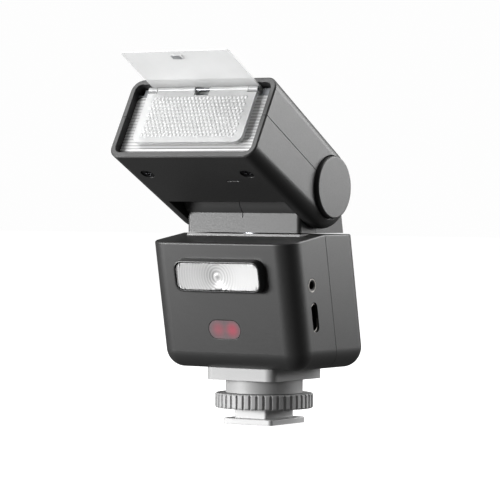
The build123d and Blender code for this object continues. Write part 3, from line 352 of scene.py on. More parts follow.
@dataclass(frozen=True)
class RibbedPlastic(ClearPlastic):
    """Clear plastic with fine parallel ribs, whose flanks show as lines of shade."""

    along: tuple[float, float, float] = (0.0, 0.0, 1.0)
    rib_mm: float = 1.1
    shade: str = "#9c9c9c"

    def detail(self, tree: bpy.types.NodeTree, shader: bpy.types.Node, coords: bpy.types.NodeSocket) -> None:
        """Lines of shade at the pitch of the ribs, stacked along one direction."""
        shader.inputs["Transmission Weight"].default_value = self.through
        height = node(tree, "ShaderNodeVectorMath", {0: coords}, operation="DOT_PRODUCT")
        height.inputs[1].default_value = self.along
        wave = node(tree, "ShaderNodeMath", {0: height.outputs["Value"]}, operation="MULTIPLY")
        wave.inputs[1].default_value = 2 * math.pi / (self.rib_mm * MM)
        crest = node(tree, "ShaderNodeMath", {0: wave.outputs[0]}, operation="SINE")
        line = node(
            tree, "ShaderNodeMapRange", {"Value": crest.outputs[0]}, From_Min=-0.4, From_Max=1.0,
            interpolation_type="SMOOTHSTEP",
        )
        mix = node(tree, "ShaderNodeMix", {"Factor": line.outputs[0]}, data_type="RGBA")
        mix.inputs[6].default_value = linear(self.colour)
        mix.inputs[7].default_value = linear(self.shade)
        tree.links.new(mix.outputs[2], shader.inputs["Base Color"])
        self.relief(tree, shader, line.outputs[0], 0.1, 0.35)


@dataclass(frozen=True)
class RingedPlastic(ClearPlastic):
    """Clear plastic with the fine concentric ridges of a Fresnel lens, which show as arcs of shade."""

    centre: tuple[float, float, float] = (0.0, 0.0, 0.0)
    ring_mm: float = 0.95
    shade: str = "#8f8f8f"
    crest_shade: float = 0.75
    fade_mm: tuple[float, float] = (0.6, 9.0)
    sweep_mm: tuple[float, float] = (-13.0, 7.8)
    dim: str = "#d8d8d8"

    def detail(self, tree: bpy.types.NodeTree, shader: bpy.types.Node, coords: bpy.types.NodeSocket) -> None:
        """Arcs of shade round the centre that fade outwards, over a sweep that is brighter to the right."""
        shader.inputs["Transmission Weight"].default_value = self.through
        offset = node(tree, "ShaderNodeVectorMath", {0: coords}, operation="SUBTRACT")
        offset.inputs[1].default_value = self.centre
        radius = node(tree, "ShaderNodeVectorMath", {0: offset.outputs[0]}, operation="LENGTH")
        wave = node(tree, "ShaderNodeMath", {0: radius.outputs["Value"]}, operation="MULTIPLY")
        wave.inputs[1].default_value = 2 * math.pi / (self.ring_mm * MM)
        crest = node(tree, "ShaderNodeMath", {0: wave.outputs[0]}, operation="SINE")
        height = node(tree, "ShaderNodeMapRange", {"Value": crest.outputs[0]}, From_Min=-1.0, From_Max=1.0)
        fade = node(
            tree, "ShaderNodeMapRange", {"Value": radius.outputs["Value"]}, From_Min=self.fade_mm[0] * MM,
            From_Max=self.fade_mm[1] * MM, To_Min=self.crest_shade, To_Max=0.0,
            interpolation_type="SMOOTHSTEP",
        )
        arcs = node(tree, "ShaderNodeMath", {0: height.outputs[0], 1: fade.outputs[0]}, operation="MULTIPLY")
        across = node(tree, "ShaderNodeSeparateXYZ", {0: offset.outputs[0]})
        sweep = node(
            tree, "ShaderNodeMapRange", {"Value": across.outputs["X"]}, From_Min=self.sweep_mm[0] * MM,
            From_Max=self.sweep_mm[1] * MM,
        )
        ground = node(tree, "ShaderNodeMix", {"Factor": sweep.outputs[0]}, data_type="RGBA")
        ground.inputs[6].default_value = linear(self.dim)
        ground.inputs[7].default_value = linear(self.colour)
        mix = node(tree, "ShaderNodeMix", {"Factor": arcs.outputs[0], 6: ground.outputs[2]}, data_type="RGBA")
        mix.inputs[7].default_value = linear(self.shade)
        tree.links.new(mix.outputs[2], shader.inputs["Base Color"])
        self.relief(tree, shader, height.outputs[0], 0.1, 0.35)


@dataclass(frozen=True)
class FrostedSheet(Finish):
    """Thin milky polypropylene sheet: what is behind it shows through faintly."""

    alpha: float = 0.75
    streak_mm: float = 1.6
    lay: tuple[float, float, float] = (1.0, 0.12, 0.12)

    def detail(self, tree: bpy.types.NodeTree, shader: bpy.types.Node, coords: bpy.types.NodeSocket) -> None:
        """Faint calendering streaks along the sheet."""
        shader.inputs["Alpha"].default_value = self.alpha
        stretched = node(tree, "ShaderNodeMapping", {"Vector": coords}, Scale=self.lay).outputs[0]
        streaks = node(
            tree, "ShaderNodeTexNoise", {"Vector": stretched}, Scale=per_metre(self.streak_mm), Detail=3.0
        )
        tree.links.new(self.cloud(tree, coords, 18.0, self.colour, "#f4f5f5"), shader.inputs["Base Color"])
        self.relief(tree, shader, streaks.outputs["Fac"], 0.02, 0.2)


@dataclass(frozen=True)
class SmokedWindow(Finish):
    """Smoked acrylic that passes red: two red emitters show through it as soft patches."""

    patches: tuple[tuple[float, float, float], ...] = ()
    patch_radius_mm: float = 2.6
    patch_strengths: tuple[float, ...] = (0.95, 0.55)
    patch_fade: tuple[float, float] = (0.2, 1.35)
    dot_mm: float = 0.45
    patch_colour: str = "#a8505e"

    def detail(self, tree: bpy.types.NodeTree, shader: bpy.types.Node, coords: bpy.types.NodeSocket) -> None:
        """The smoke's own tone, the two patches over it, and the fine dots of the diffusing back."""
        base = self.cloud(tree, coords, 3.0, self.colour, "#726467")
        clear, edge = (share * self.patch_radius_mm for share in self.patch_fade)
        for spot, strength in zip(self.patches, self.patch_strengths):
            away = node(tree, "ShaderNodeVectorMath", {0: coords}, operation="DISTANCE")
            away.inputs[1].default_value = spot
            near = node(
                tree, "ShaderNodeMapRange", {"Value": away.outputs["Value"]}, From_Min=clear * MM,
                From_Max=edge * MM, To_Min=strength, To_Max=0.0, interpolation_type="SMOOTHSTEP",
            )
            mix = node(tree, "ShaderNodeMix", {"Factor": near.outputs["Result"], 6: base}, data_type="RGBA")
            mix.inputs[7].default_value = linear(self.patch_colour)
            base = mix.outputs[2]
        dots = node(
            tree, "ShaderNodeTexVoronoi", {"Vector": coords}, Scale=per_metre(self.dot_mm), Randomness=0.25
        )
        shade = node(tree, "ShaderNodeMix", {6: base}, data_type="RGBA", blend_type="MULTIPLY")
        shade.inputs[0].default_value = 0.5
        tree.links.new(dots.outputs["Distance"], shade.inputs[7])
        lift = node(tree, "ShaderNodeMix", {6: base, 7: shade.outputs[2]}, data_type="RGBA")
        lift.inputs[0].default_value = 0.35
        tree.links.new(lift.outputs[2], shader.inputs["Base Color"])
        shader.inputs["Coat Weight"].default_value = 0.4
        shader.inputs["Coat Roughness"].default_value = 0.08
        self.relief(tree, shader, dots.outputs["Distance"], 0.02, 0.2)


@dataclass(frozen=True)
class DarkGlass(Finish):
    """Hard-coated touch glass over an unlit display: black, with a faint bloom of handling."""

    def detail(self, tree: bpy.types.NodeTree, shader: bpy.types.Node, coords: bpy.types.NodeSocket) -> None:
        """Handling marks that only change the gloss."""
        marks = node(tree, "ShaderNodeTexNoise", {"Vector": coords}, Scale=per_metre(7.0), Detail=5.0)
        rough = node(
            tree, "ShaderNodeMapRange", {"Value": marks.outputs["Fac"]}, From_Min=0.35, From_Max=0.75,
            To_Min=self.roughness, To_Max=self.roughness + 0.12,
        )
        tree.links.new(rough.outputs["Result"], shader.inputs["Roughness"])
        tree.links.new(self.cloud(tree, coords, 10.0, self.colour, "#101114"), shader.inputs["Base Color"])


@dataclass(frozen=True)
class WorkedMetal(Finish):
    """Metal with the fine lines that drawing, turning or brushing leaves along one direction."""

    worn: str = "#a0a2a6"
    line_mm: float = 0.3
    lay: tuple[float, float, float] = (0.1, 1.0, 1.0)

    def detail(self, tree: bpy.types.NodeTree, shader: bpy.types.Node, coords: bpy.types.NodeSocket) -> None:
        """Lines that run along the short scale of the lay, and a patchy tone as plating has."""
        stretched = node(tree, "ShaderNodeMapping", {"Vector": coords}, Scale=self.lay).outputs[0]
        lines = node(
            tree, "ShaderNodeTexNoise", {"Vector": stretched}, Scale=per_metre(self.line_mm), Detail=3.0
        )
        tree.links.new(self.cloud(tree, coords, 4.0, self.colour, self.worn), shader.inputs["Base Color"])
        rough = node(
            tree, "ShaderNodeMapRange", {"Value": lines.outputs["Fac"]}, From_Min=0.3, From_Max=0.7,
            To_Min=max(0.04, self.roughness - 0.08), To_Max=self.roughness + 0.1,
        )
        tree.links.new(rough.outputs["Result"], shader.inputs["Roughness"])
        self.relief(tree, shader, lines.outputs["Fac"], 0.012, 0.3, 0.12)


@dataclass(frozen=True)
class PrintedBoard(Finish):
    """Solder mask over copper on glass-epoxy: green with slightly paler tracks."""

    track: str = "#2f7a4a"
    cell_mm: float = 2.2

    def detail(self, tree: bpy.types.NodeTree, shader: bpy.types.Node, coords: bpy.types.NodeSocket) -> None:
        """Tracks as the borders of square cells about 2 mm across."""
        cells = node(
            tree, "ShaderNodeTexVoronoi", {"Vector": coords}, Scale=per_metre(self.cell_mm),
            feature="DISTANCE_TO_EDGE", Randomness=0.6,
        )
        lines = node(
            tree, "ShaderNodeMapRange", {"Value": cells.outputs["Distance"]}, From_Min=0.03, From_Max=0.08,
            To_Min=1.0, To_Max=0.0,
        )
        mix = node(tree, "ShaderNodeMix", {"Factor": lines.outputs["Result"]}, data_type="RGBA")
        mix.inputs[6].default_value = linear(self.colour)
        mix.inputs[7].default_value = linear(self.track)
        tree.links.new(mix.outputs[2], shader.inputs["Base Color"])
        self.relief(tree, shader, lines.outputs["Result"], 0.035, 0.5, 0.1)


@dataclass(frozen=True)
class Wrapped(Finish):
    """Shrink sleeve or cast rubber: smooth with long soft ripples."""

    ripple: str = "#2a4a86"
    ripple_mm: float = 5.0

    def detail(self, tree: bpy.types.NodeTree, shader: bpy.types.Node, coords: bpy.types.NodeSocket) -> None:
        """Ripples that catch the light along the piece."""
        wave = node(
            tree, "ShaderNodeTexNoise", {"Vector": coords}, Scale=per_metre(self.ripple_mm), Detail=1.0,
            Distortion=0.8,
        )
        tree.links.new(self.cloud(tree, coords, 6.0, self.colour, self.ripple), shader.inputs["Base Color"])
        self.relief(tree, shader, wave.outputs["Fac"], 0.12, 0.4, 0.2)


def middle_of(name: str) -> tuple[float, float, float]:
    """The middle of a CAD node's box."""
    low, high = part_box(name)
    return tuple((low + high) / 2)


def head_up() -> Vector:
    """The direction across the flash lens from its lower edge to its upper edge, with the head at rest."""
    along = Vector(joint("card_slide")["axis"])
    if along.y > 0:
        along.negate()
    return along.cross(Vector((1, 0, 0))).normalized()


def emitter_spots() -> tuple[tuple[float, float, float], ...]:
    """Where the two red patches lie on the focus-assist window, right one first."""
    x, y, z = middle_of("assist_window")
    return tuple((x + offset * MM, y, z) for offset in EMITTER_OFFSETS)


@dataclass(frozen=True)
class Finishes:
    """Every finish of the object, by what it is."""

    # ABS shells, spark-eroded: near-black body with a broad soft sheen that turns grey under a soft light
    case: Finish = MouldedPlastic("moulded_abs_case", "#272727", 0.42, drift="#2c2c2c")
    # the head's shells come from the same tool texture
    head: Finish = MouldedPlastic("moulded_abs_head", "#282828", 0.42, drift="#2e2e2e")
    # the neck is rougher than the shells it stands between
    neck: Finish = MouldedPlastic("moulded_abs_neck", "#2c2c2c", 0.5, drift="#323232")
    # polished tool for the lamp's frame, which gives it a glossier edge
    frame_gloss: Finish = MouldedPlastic(
        "moulded_abs_frame", "#282828", 0.3, drift="#1d1d1d", grain_depth_mm=0.008
    )
    # the controls come from their own tool, with crisper edges than the shells
    control: Finish = MouldedPlastic("moulded_abs_controls", "#222222", 0.4, drift="#282828", edge_mm=0.15)
    # black glass-filled nylon, for what carries heat or contacts
    nylon: Finish = MouldedPlastic("glass_filled_nylon", "#1b1b1c", 0.5, drift="#222223")
    guide: Finish = MouldedPlastic("moulded_abs_guide", "#6f7174", 0.5, drift="#7d7f82")
    adapter: Finish = MouldedPlastic(
        "moulded_abs_pale", "#9a9a9a", 0.5, drift="#a3a3a3", grain_depth_mm=0.012
    )
    foot: Finish = MouldedPlastic("painted_zinc_foot", "#b2b2b2", 0.36, drift="#b9b9b9", grain_depth_mm=0.01)
    # the flash lens, ribbed across and hazy enough to hide the mirror
    lens: Finish = field(
        default_factory=lambda: RibbedPlastic(
            "clear_polycarbonate", "#cfcfcf", 0.32, ior=1.5, through=0.25, along=tuple(head_up())
        )
    )
    panel: Finish = ClearPlastic("clear_acrylic_panel", "#bcbcbc", 0.28, ior=1.45, through=0.6)
    # the same acrylic where the moulded domes scatter most of the light
    prism: Finish = ClearPlastic("clear_acrylic_domes", "#c6c6c6", 0.18, ior=1.45, through=0.35)
    lamp: Finish = field(
        default_factory=lambda: RingedPlastic(
            "clear_acrylic_lamp", "#dadada", 0.24, ior=1.45, through=0.2, centre=middle_of("lamp_lens")
        )
    )
    card: Finish = FrostedSheet("frosted_polypropylene", "#d9d9d9", 0.5, alpha=0.5)
    smoked: Finish = field(
        default_factory=lambda: SmokedWindow("smoked_acrylic", "#6a5e61", 0.22, patches=emitter_spots())
    )
    glass: Finish = DarkGlass("hard_coated_glass", "#0a0b0d", 0.06, ior=1.52)
    board: Finish = PrintedBoard("glass_epoxy_board", "#12512b", 0.35)
    # zinc-plated steel, drawn, and the same steel blackened or brushed to satin
    steel: Finish = WorkedMetal("zinc_plated_steel", "#8e9093", 0.32, metallic=1.0)
    black_steel: Finish = WorkedMetal("black_oxide_steel", "#2b2b2d", 0.38, metallic=1.0, worn="#3c3c3f")
    trim: Finish = WorkedMetal("satin_steel", "#8a8885", 0.42, metallic=1.0, worn="#97948f")
    nickel: Finish = WorkedMetal("nickel_plate", "#c9c6c0", 0.18, metallic=1.0, worn="#d6d3cd")
    gold: Finish = WorkedMetal("gold_plate", "#e2b659", 0.22, metallic=1.0, worn="#eac677")
    # rolled bright aluminium
    mirror: Finish = WorkedMetal(
        "bright_rolled_aluminium", "#e6e7e8", 0.16, metallic=1.0, worn="#f0f1f1", line_mm=0.6
    )
    ferrite: Finish = MouldedPlastic("pressed_ferrite", "#3a3a3c", 0.6, drift="#444446", grain_mm=0.6)
    quartz: Finish = ClearPlastic("quartz_tube", "#f4f6f7", 0.04, ior=1.46, through=0.95)
    silicone: Finish = Wrapped("cast_silicone", "#cfcfcb", 0.6, ripple="#dadad6")
    cell: Finish = Wrapped("shrink_wrapped_cell", "#1c3564", 0.35)
    sleeve: Finish = Wrapped("shrink_sleeved_capacitor", "#1a1b1f", 0.32, ripple="#24262b")
    phosphor: Finish = Wrapped("led_phosphor", "#e8d56a", 0.5, ripple="#efdf86", ripple_mm=0.8)
    red_epoxy: Finish = ClearPlastic("red_led_epoxy", "#d2203a", 0.1, ior=1.53, through=0.4)
    grip: Finish = MouldedPlastic("moulded_grey_grip", "#77797c", 0.55, drift="#85878a")


# ---- The head ----------------------------------------------------------------------------------------


@dataclass
class FlashHead:
    """The tilting head: shells, flash lens, wide panel and bounce card. Sizes are in millimetres."""

    finishes: Finishes
    rib_pitch: float = 1.05
    rib_depth: float = 0.3
    bump_pitch: float = 1.4
    bump_radius: float = 0.66
    bump_height: float = 0.26
    bump_cut: float = 0.12
    bump_sunk: float = 0.1
    bump_margin: tuple[float, float] = (2.2, 1.9)
    row_step: float = 0.86
    hinge_margin: float = 3.6
    panel_half_thickness: float = 0.6
    catch_size: tuple[float, float, float] = (5.2, 1.8, 1.6)
    catch_place: tuple[float, float, float] = (12.8, -6.6, -1.1)
    grip_rib: tuple[float, float, float] = (3.4, 0.16, 0.5)
    grip_ribs: int = 3
    grip_pitch: float = 0.7
    grip_place: tuple[float, float, float] = (-0.4, -0.75, -3.55)
    place: Matrix = field(init=False)

    def __post_init__(self) -> None:
        """Take the head's frame from the tilt hinge and from the way the card slides."""
        self.place = axes_at(Vector(joint("tilt")["pos_m"]), Vector((1, 0, 0)), head_up())

    def ribbed_lens(self) -> bpy.types.Object:
        """The flash lens with fine ribs across its front, which spread the light up and down."""
        low, high = span("flash_lens", self.place)
        lens = copied("flash_lens", "flash_lens_ribbed", self.place)
        bpy.ops.object.mode_set(mode="EDIT")
        half = self.rib_pitch * MM / 2
        lines = int((high.y - low.y - 2 * half) / half)
        heights = [low.y + half * (step + 1) for step in range(lines)]
        for height in heights:
            bpy.ops.mesh.select_all(action="SELECT")
            bpy.ops.mesh.bisect(plane_co=(0, height, 0), plane_no=(0, 1, 0))
        for height in heights[::2]:
            if pick(lens, "verts", lambda v: math.hypot(v.co.y - height, v.co.z - high.z) < TOUCHING):
                bpy.ops.transform.translate(value=(0, 0, -self.rib_depth * MM))
        bpy.ops.object.mode_set(mode="OBJECT")
        lens.data.materials.append(self.finishes.lens.material())
        settled(lens, self.place, 20.0)
        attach(lens, "head")
        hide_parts("flash_lens")
        return lens

    def panel_prisms(self) -> bpy.types.Object:
        """The staggered lattice of small domes moulded on the wide panel's front."""
        low, high = span("wide_panel", self.place)
        pitch = self.bump_pitch * MM
        side, edge = (margin * MM for margin in self.bump_margin)
        free_hands()
        bpy.ops.mesh.primitive_uv_sphere_add(segments=10, ring_count=6, radius=self.bump_radius * MM)
        dome = bpy.context.object
        dome.name = "panel_prisms"
        bpy.ops.object.mode_set(mode="EDIT")
        bpy.ops.mesh.select_all(action="SELECT")
        bpy.ops.mesh.bisect(
            plane_co=(0, 0, self.bump_cut * MM), plane_no=(0, 0, -1), use_fill=True, clear_outer=True
        )
        bpy.ops.mesh.select_all(action="SELECT")
        flatter = self.bump_height / self.bump_radius
        bpy.ops.transform.resize(value=(1, 1, flatter), center_override=(0, 0, 0))
        bpy.ops.object.mode_set(mode="OBJECT")
        columns = int((high.x - low.x - 2 * side) / pitch)
        rows = int((high.y - low.y - self.hinge_margin * MM - edge) / pitch)
        row = repeated(dome, columns, (pitch, 0, 0))
        second = row.copy()
        second.data = row.data.copy()
        bpy.context.scene.collection.objects.link(second)
        second.data.transform(Matrix.Translation((pitch / 2, pitch * self.row_step, 0)))
        take(row)
        second.select_set(True)
        bpy.ops.object.join()
        repeated(row, rows // 2 + 1, (0, pitch * 2 * self.row_step, 0))
        pivot = self.place.inverted() @ Vector(joint("panel_fold")["pos_m"])
        face = pivot.z + (self.panel_half_thickness - self.bump_sunk) * MM
        start = Vector((-(columns - 0.5) * pitch / 2, low.y + edge + 0.5 * pitch, face))
        row.data.transform(Matrix.Translation(start))
        row.data.materials.append(self.finishes.prism.material())
        settled(row, self.place, 40.0)
        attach(row, "wide_panel")
        return row

    def lens_catches(self) -> list[bpy.types.Object]:
        """The two tongues behind the lens's lower edge, which catch the lower shell."""
        low, _ = span("flash_lens", self.place)
        x, y, z = (length * MM for length in self.catch_place)
        made = []
        for side in Side:
            free_hands()
            bpy.ops.mesh.primitive_cube_add(size=1, location=(side.value * x, y, low.z + z))
            catch = bpy.context.object
            catch.name = f"lens_catch_{side.name.lower()}"
            catch.scale = [length * MM for length in self.catch_size]
            bpy.ops.object.transform_apply(location=True, scale=True)
            bpy.ops.object.mode_set(mode="EDIT")
            pick(catch, "faces", lambda f: f.normal.z > 0.9)
            bpy.ops.mesh.inset(thickness=0.35 * MM, depth=0.25 * MM)
            bpy.ops.object.mode_set(mode="OBJECT")
            modified(catch, "BEVEL", width=0.25 * MM, segments=3, limit_method="ANGLE")
            catch.data.materials.append(self.finishes.lens.material())
            settled(catch, self.place)
            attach(catch, "head")
            made.append(catch)
        return made

    def card_grip(self) -> bpy.types.Object:
        """The small ribbed grip under the card's front edge, which a fingertip pulls."""
        _, high = span("bounce_card", self.place)
        free_hands()
        bpy.ops.mesh.primitive_cube_add(size=1)
        grip = bpy.context.object
        grip.name = "card_grip"
        grip.scale = [length * MM for length in self.grip_rib]
        bpy.ops.object.transform_apply(location=True, scale=True)
        modified(grip, "BEVEL", width=0.06 * MM, segments=3, limit_method="ANGLE")
        repeated(grip, self.grip_ribs, (0, 0, self.grip_pitch * MM))
        x, y, z = (length * MM for length in self.grip_place)
        start = Vector((x, high.y + y, high.z + z))
        grip.data.transform(Matrix.Translation(start))
        grip.data.materials.append(self.finishes.grip.material())
        settled(grip, self.place)
        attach(grip, "bounce_card")
        return grip

    def build(self) -> None:
        """Make the head's fine pieces and dress its CAD nodes."""
        for piece in (self.ribbed_lens(), self.panel_prisms(), *self.lens_catches(), self.card_grip()):
            LOG.info("head: %s", piece.name)
        dress(self.finishes.head, "head_upper", "head_lower", "hinge_caps")
        dress(self.finishes.panel, "wide_panel", "panel_carrier")
        dress(self.finishes.lens, "flash_lens")
        dress(self.finishes.card, "bounce_card")
        dress(self.finishes.guide, "card_guide")
        dress(self.finishes.nylon, "mirror_mount")
        dress(self.finishes.mirror, "reflector")
        dress(self.finishes.quartz, "flash_tube")
        dress(self.finishes.silicone, "tube_holders")
        dress(self.finishes.board, "trigger_board")
        dress(self.finishes.black_steel, "head_screws")
        dress(self.finishes.steel, "tilt_axles", "detent_discs", "panel_pin")


def dress(finish: Finish, *nodes: str) -> None:
    """Give CAD nodes a finish in place of their plain material."""
    for name in nodes:
        mesh = frame["nodes"][name].data
        mesh.materials.clear()
        mesh.materials.append(finish.material())


@dataclass
class Neck:
    """The swivelling neck between the case and the head."""

    finishes: Finishes

    def build(self) -> None:
        """Dress the neck's CAD nodes."""
        dress(self.finishes.neck, "neck_front", "neck_rear")
        dress(self.finishes.steel, "swivel_hub", "swivel_retainer", "swivel_spring", "detent_springs")
        dress(self.finishes.black_steel, "neck_screws")
        LOG.info("neck: dressed")


@dataclass
class Case:
    """The case with its lamp, focus-assist window, sockets and rear controls. Sizes are in millimetres."""

    finishes: Finishes
    ring_pitch: float = 0.95
    ring_depth: float = 0.28
    ring_count: int = 16
    ring_margin: float = 2.2
    face_margin: float = 1.2
    lens_set_back: float = 0.12
    trim_thickness: float = 0.16
    trim_proud: float = 0.06
    place: Matrix = field(init=False)

    def __post_init__(self) -> None:
        """Take the front face's frame from the lamp and from the lean that the dial's axis gives."""
        out = -Vector(joint("dial_turn")["axis"])
        right = Vector((1, 0, 0))
        self.place = axes_at(Vector(middle_of("lamp_lens")), right, out.cross(right))

    def fresnel_lens(self) -> bpy.types.Object:
        """The lamp's lens with concentric ridges on its face, cut to the outline of the CAD lens."""
        low, high = span("lamp_lens", self.place)
        radius = self.ring_pitch * self.ring_count * MM + self.ring_margin * MM
        middle = (low.z + high.z) / 2 - self.lens_set_back * MM
        free_hands()
        bpy.ops.mesh.primitive_cylinder_add(
            vertices=96, radius=radius, depth=high.z - low.z, location=(0, 0, middle)
        )
        lens = bpy.context.object
        lens.name = "lamp_lens_fresnel"
        bpy.ops.object.transform_apply(location=True)
        bpy.ops.object.mode_set(mode="EDIT")
        pick(lens, "faces", lambda f: f.normal.z > 0.9)
        pitch, depth = self.ring_pitch * MM, self.ring_depth * MM
        bpy.ops.mesh.inset(thickness=self.face_margin * MM)
        for _ in range(self.ring_count):
            bpy.ops.mesh.inset(thickness=pitch * 0.25, depth=-depth)
            bpy.ops.mesh.inset(thickness=pitch * 0.75, depth=depth)
        bpy.ops.object.mode_set(mode="OBJECT")
        cutter = copied("lamp_lens", "lamp_outline", self.place)
        cutter.data.transform(Matrix.Diagonal((1, 1, 1.4, 1)))
        modified(lens, "BOOLEAN", operation="INTERSECT", solver="EXACT", object=cutter)
        bpy.data.objects.remove(cutter)
        lens.data.materials.clear()
        lens.data.materials.append(self.finishes.lamp.material())
        settled(lens, self.place, 25.0)
        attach(lens, "body")
        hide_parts("lamp_lens")
        return lens

    def mouth_trim(self, name: str, socket: str, inset: float, bore: float) -> bpy.types.Object:
        """The thin bright edge of a socket's mouth, as long as the socket is tall.

        Args:
            name: The piece's name.
            socket: The CAD node whose mouth it lines.
            inset: Gap between the socket's outline and the trim, in millimetres.
            bore: Size of the trim's inner edge, as a share of its outer edge.

        Returns:
            The trim.
        """
        low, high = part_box(socket)
        _, y, z = middle_of(socket)
        radius = (high.y - low.y) / 2 - inset * MM
        straight = max((high.z - low.z) / 2 - inset * MM - radius, 0.0)
        free_hands()
        bpy.ops.mesh.primitive_circle_add(vertices=56, radius=radius, fill_type="NOTHING")
        trim = bpy.context.object
        trim.name = name
        bpy.ops.object.mode_set(mode="EDIT")
        bpy.ops.mesh.select_all(action="SELECT")
        bpy.ops.mesh.extrude_edges_move()
        bpy.ops.transform.resize(value=(bore, bore, 1))
        for end in (-1, 1):
            if straight and pick(trim, "verts", lambda v: v.co.y * end > 0):
                bpy.ops.transform.translate(value=(0, end * straight, 0))
        bpy.ops.mesh.select_all(action="SELECT")
        bpy.ops.mesh.normals_make_consistent(inside=False)
        bpy.ops.object.mode_set(mode="OBJECT")
        modified(trim, "SOLIDIFY", thickness=self.trim_thickness * MM, offset=0.0)
        trim.data.materials.append(self.finishes.trim.material())
        mouth = Vector((high.x + self.trim_proud * MM, y, z))
        settled(trim, axes_at(mouth, Vector((0, 1, 0)), Vector((0, 0, 1))))
        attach(trim, "body")
        return trim

    def build(self) -> None:
        """Make the lamp's lens and dress the case's CAD nodes."""
        for piece in (
            self.fresnel_lens(),
            self.mouth_trim("jack_trim", "sync_jack", 0.1, 0.88),
            self.mouth_trim("usb_trim", "usb_socket", 0.0, 0.84),
        ):
            LOG.info("case: %s", piece.name)
        dress(self.finishes.case, "front_case", "rear_cover")
        dress(self.finishes.frame_gloss, "lamp_bezel")
        dress(self.finishes.lamp, "lamp_lens")
        dress(self.finishes.smoked, "assist_window")
        dress(self.finishes.phosphor, "lamp_emitter")
        dress(self.finishes.red_epoxy, "assist_leds")
        dress(self.finishes.board, "lamp_board", "assist_board", "main_board")
        dress(self.finishes.nylon, "sync_jack", "key_switches", "screen_module")
        dress(self.finishes.black_steel, "usb_socket")
        dress(self.finishes.nickel, "dock_magnets")
        dress(self.finishes.gold, "link_pins")
        dress(self.finishes.glass, "screen_window")
        dress(self.finishes.control, "dial", "set_key", "test_key", "menu_key", "power_switch")
        dress(self.finishes.cell, "battery")
        dress(self.finishes.sleeve, "main_capacitor")
        dress(self.finishes.ferrite, "charging_transformer")
        dress(self.finishes.steel, "bearing_plate")
        dress(self.finishes.black_steel, "case_screws", "bearing_screws")


@dataclass
class ShoeAdapter:
    """The pale adapter: plate, ring, locking pin and shoe foot."""

    finishes: Finishes

    def build(self) -> None:
        """Dress the adapter's CAD nodes."""
        dress(self.finishes.adapter, "adapter_housing", "lock_ring")
        dress(self.finishes.foot, "shoe_foot")
        dress(self.finishes.steel, "lock_pin", "foot_screws", "adapter_lid")
        dress(self.finishes.gold, "shoe_contacts")
        dress(self.finishes.board, "adapter_board")
        LOG.info("adapter: dressed")


# ---- Studio and camera ---------------------------------------------------------------------------------


@dataclass(frozen=True)
class Softbox:
    """One soft light, aimed at the object. Lengths are in metres, power in watts."""

    name: str
    place: tuple[float, float, float]
    size: tuple[float, float]
    power: float
    aim: tuple[float, float, float] = (0.0, -0.01, 0.07)

    def build(self) -> bpy.types.Object:
        """Add the light."""
        data = bpy.data.lights.new(self.name, "AREA")
        data.shape = "RECTANGLE"
        data.size, data.size_y = self.size
        data.energy = self.power
        light = bpy.data.objects.new(self.name, data)
        bpy.context.scene.collection.objects.link(light)
        light.location = self.place
        light.rotation_euler = (Vector(self.aim) - Vector(self.place)).to_track_quat("-Z", "Y").to_euler()
        light.visible_camera = False
        return light


LIGHTS = (
    Softbox("rear_right_softbox", (0.34, 0.42, 0.27), (0.42, 0.42), 4.8),
    Softbox("front_left_softbox", (-0.60, -0.80, 0.10), (0.42, 0.2), 12.5),
    Softbox("near_left_softbox", (-0.2, -0.2, 0.06), (0.08, 0.08), 0.3, aim=(-0.02, -0.03, 0.05)),
    Softbox("top_left_softbox", (-0.42, -0.36, 0.72), (0.5, 0.5), 4.6),
    Softbox("overhead_softbox", (0.1, 0.15, 0.9), (0.7, 0.7), 4.0),
)


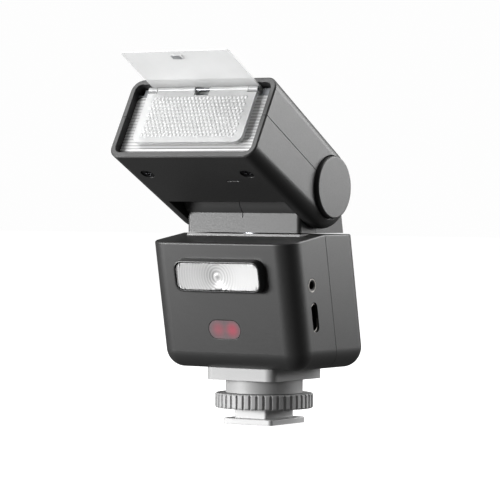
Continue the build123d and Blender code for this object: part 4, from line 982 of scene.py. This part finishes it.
@dataclass(frozen=True)
class Studio:
    """A plain pale floor under soft light, with the camera to the right of the front."""

    floor_size: float = 8.0
    floor_gap: float = 0.0002
    pale: float = 0.985
    ambient: float = 0.11
    camera_place: tuple[float, float, float] = (0.49216, -0.75765, 0.07136)
    bearing_deg: float = 33.313
    pitch_deg: float = 1.034
    roll_deg: float = 0.367
    focal_mm: float = 204.08
    sensor_mm: float = 36.0

    def floor(self) -> bpy.types.Object:
        """The floor, pale enough to meet the white background without a line."""
        free_hands()
        bpy.ops.mesh.primitive_plane_add(size=self.floor_size, location=(0, 0, -self.floor_gap))
        floor = bpy.context.object
        floor.name = "studio_floor"
        bpy.ops.object.transform_apply(location=True)
        made = bpy.data.materials.new("pale_paper")
        made.use_nodes = True
        shader = made.node_tree.nodes["Principled BSDF"]
        shader.inputs["Base Color"].default_value = (0.35, 0.35, 0.35, 1.0)
        shader.inputs["Roughness"].default_value = 0.9
        shader.inputs["Emission Color"].default_value = (1.0, 1.0, 1.0, 1.0)
        shader.inputs["Emission Strength"].default_value = self.pale
        floor.data.materials.append(made)
        floor.visible_diffuse = False
        floor.visible_glossy = False
        return floor

    def world(self) -> None:
        """A white background with a dim, even fill light."""
        world = bpy.data.worlds.new("studio_white")
        bpy.context.scene.world = world
        world.use_nodes = True
        tree = world.node_tree
        tree.nodes.clear()
        ray = node(tree, "ShaderNodeLightPath")
        strength = node(
            tree, "ShaderNodeMapRange", {"Value": ray.outputs["Is Camera Ray"]}, To_Min=self.ambient,
            To_Max=self.pale,
        )
        back = node(tree, "ShaderNodeBackground", {"Strength": strength.outputs[0]}, Color=(1, 1, 1, 1))
        node(tree, "ShaderNodeOutputWorld", {"Surface": back.outputs[0]})

    def camera(self) -> bpy.types.Object:
        """The camera, with its turn built from bearing, pitch and roll."""
        bearing, pitch, roll = (math.radians(d) for d in (self.bearing_deg, self.pitch_deg, self.roll_deg))
        right = Vector((math.cos(bearing), math.sin(bearing), 0))
        level = math.cos(pitch)
        back = Vector((math.sin(bearing) * level, -math.cos(bearing) * level, math.sin(pitch)))
        up = back.cross(right)
        rolled = right * math.cos(roll) + up * math.sin(roll)
        upright = up * math.cos(roll) - right * math.sin(roll)
        data = bpy.data.cameras.new("camera")
        data.lens, data.sensor_width = self.focal_mm, self.sensor_mm
        data.clip_start, data.clip_end = 0.05, 30.0
        camera = bpy.data.objects.new("camera", data)
        bpy.context.scene.collection.objects.link(camera)
        turn = Matrix((rolled, upright, back)).transposed().to_4x4()
        camera.matrix_world = Matrix.Translation(self.camera_place) @ turn
        bpy.context.scene.camera = camera
        return camera

    def build(self) -> None:
        """Set up the floor, background, lights and camera."""
        bpy.context.scene.view_settings.view_transform = "Standard"
        self.world()
        self.floor()
        for light in LIGHTS:
            light.build()
        self.camera()


def main() -> None:
    """Build the object's looks in order, then the studio."""
    logging.basicConfig(level=logging.INFO, format="%(message)s")
    finishes = Finishes()
    for part in (ShoeAdapter(finishes), Case(finishes), Neck(finishes), FlashHead(finishes)):
        part.build()
    Studio().build()
    free_hands()


if __name__ == "__main__":
    main()
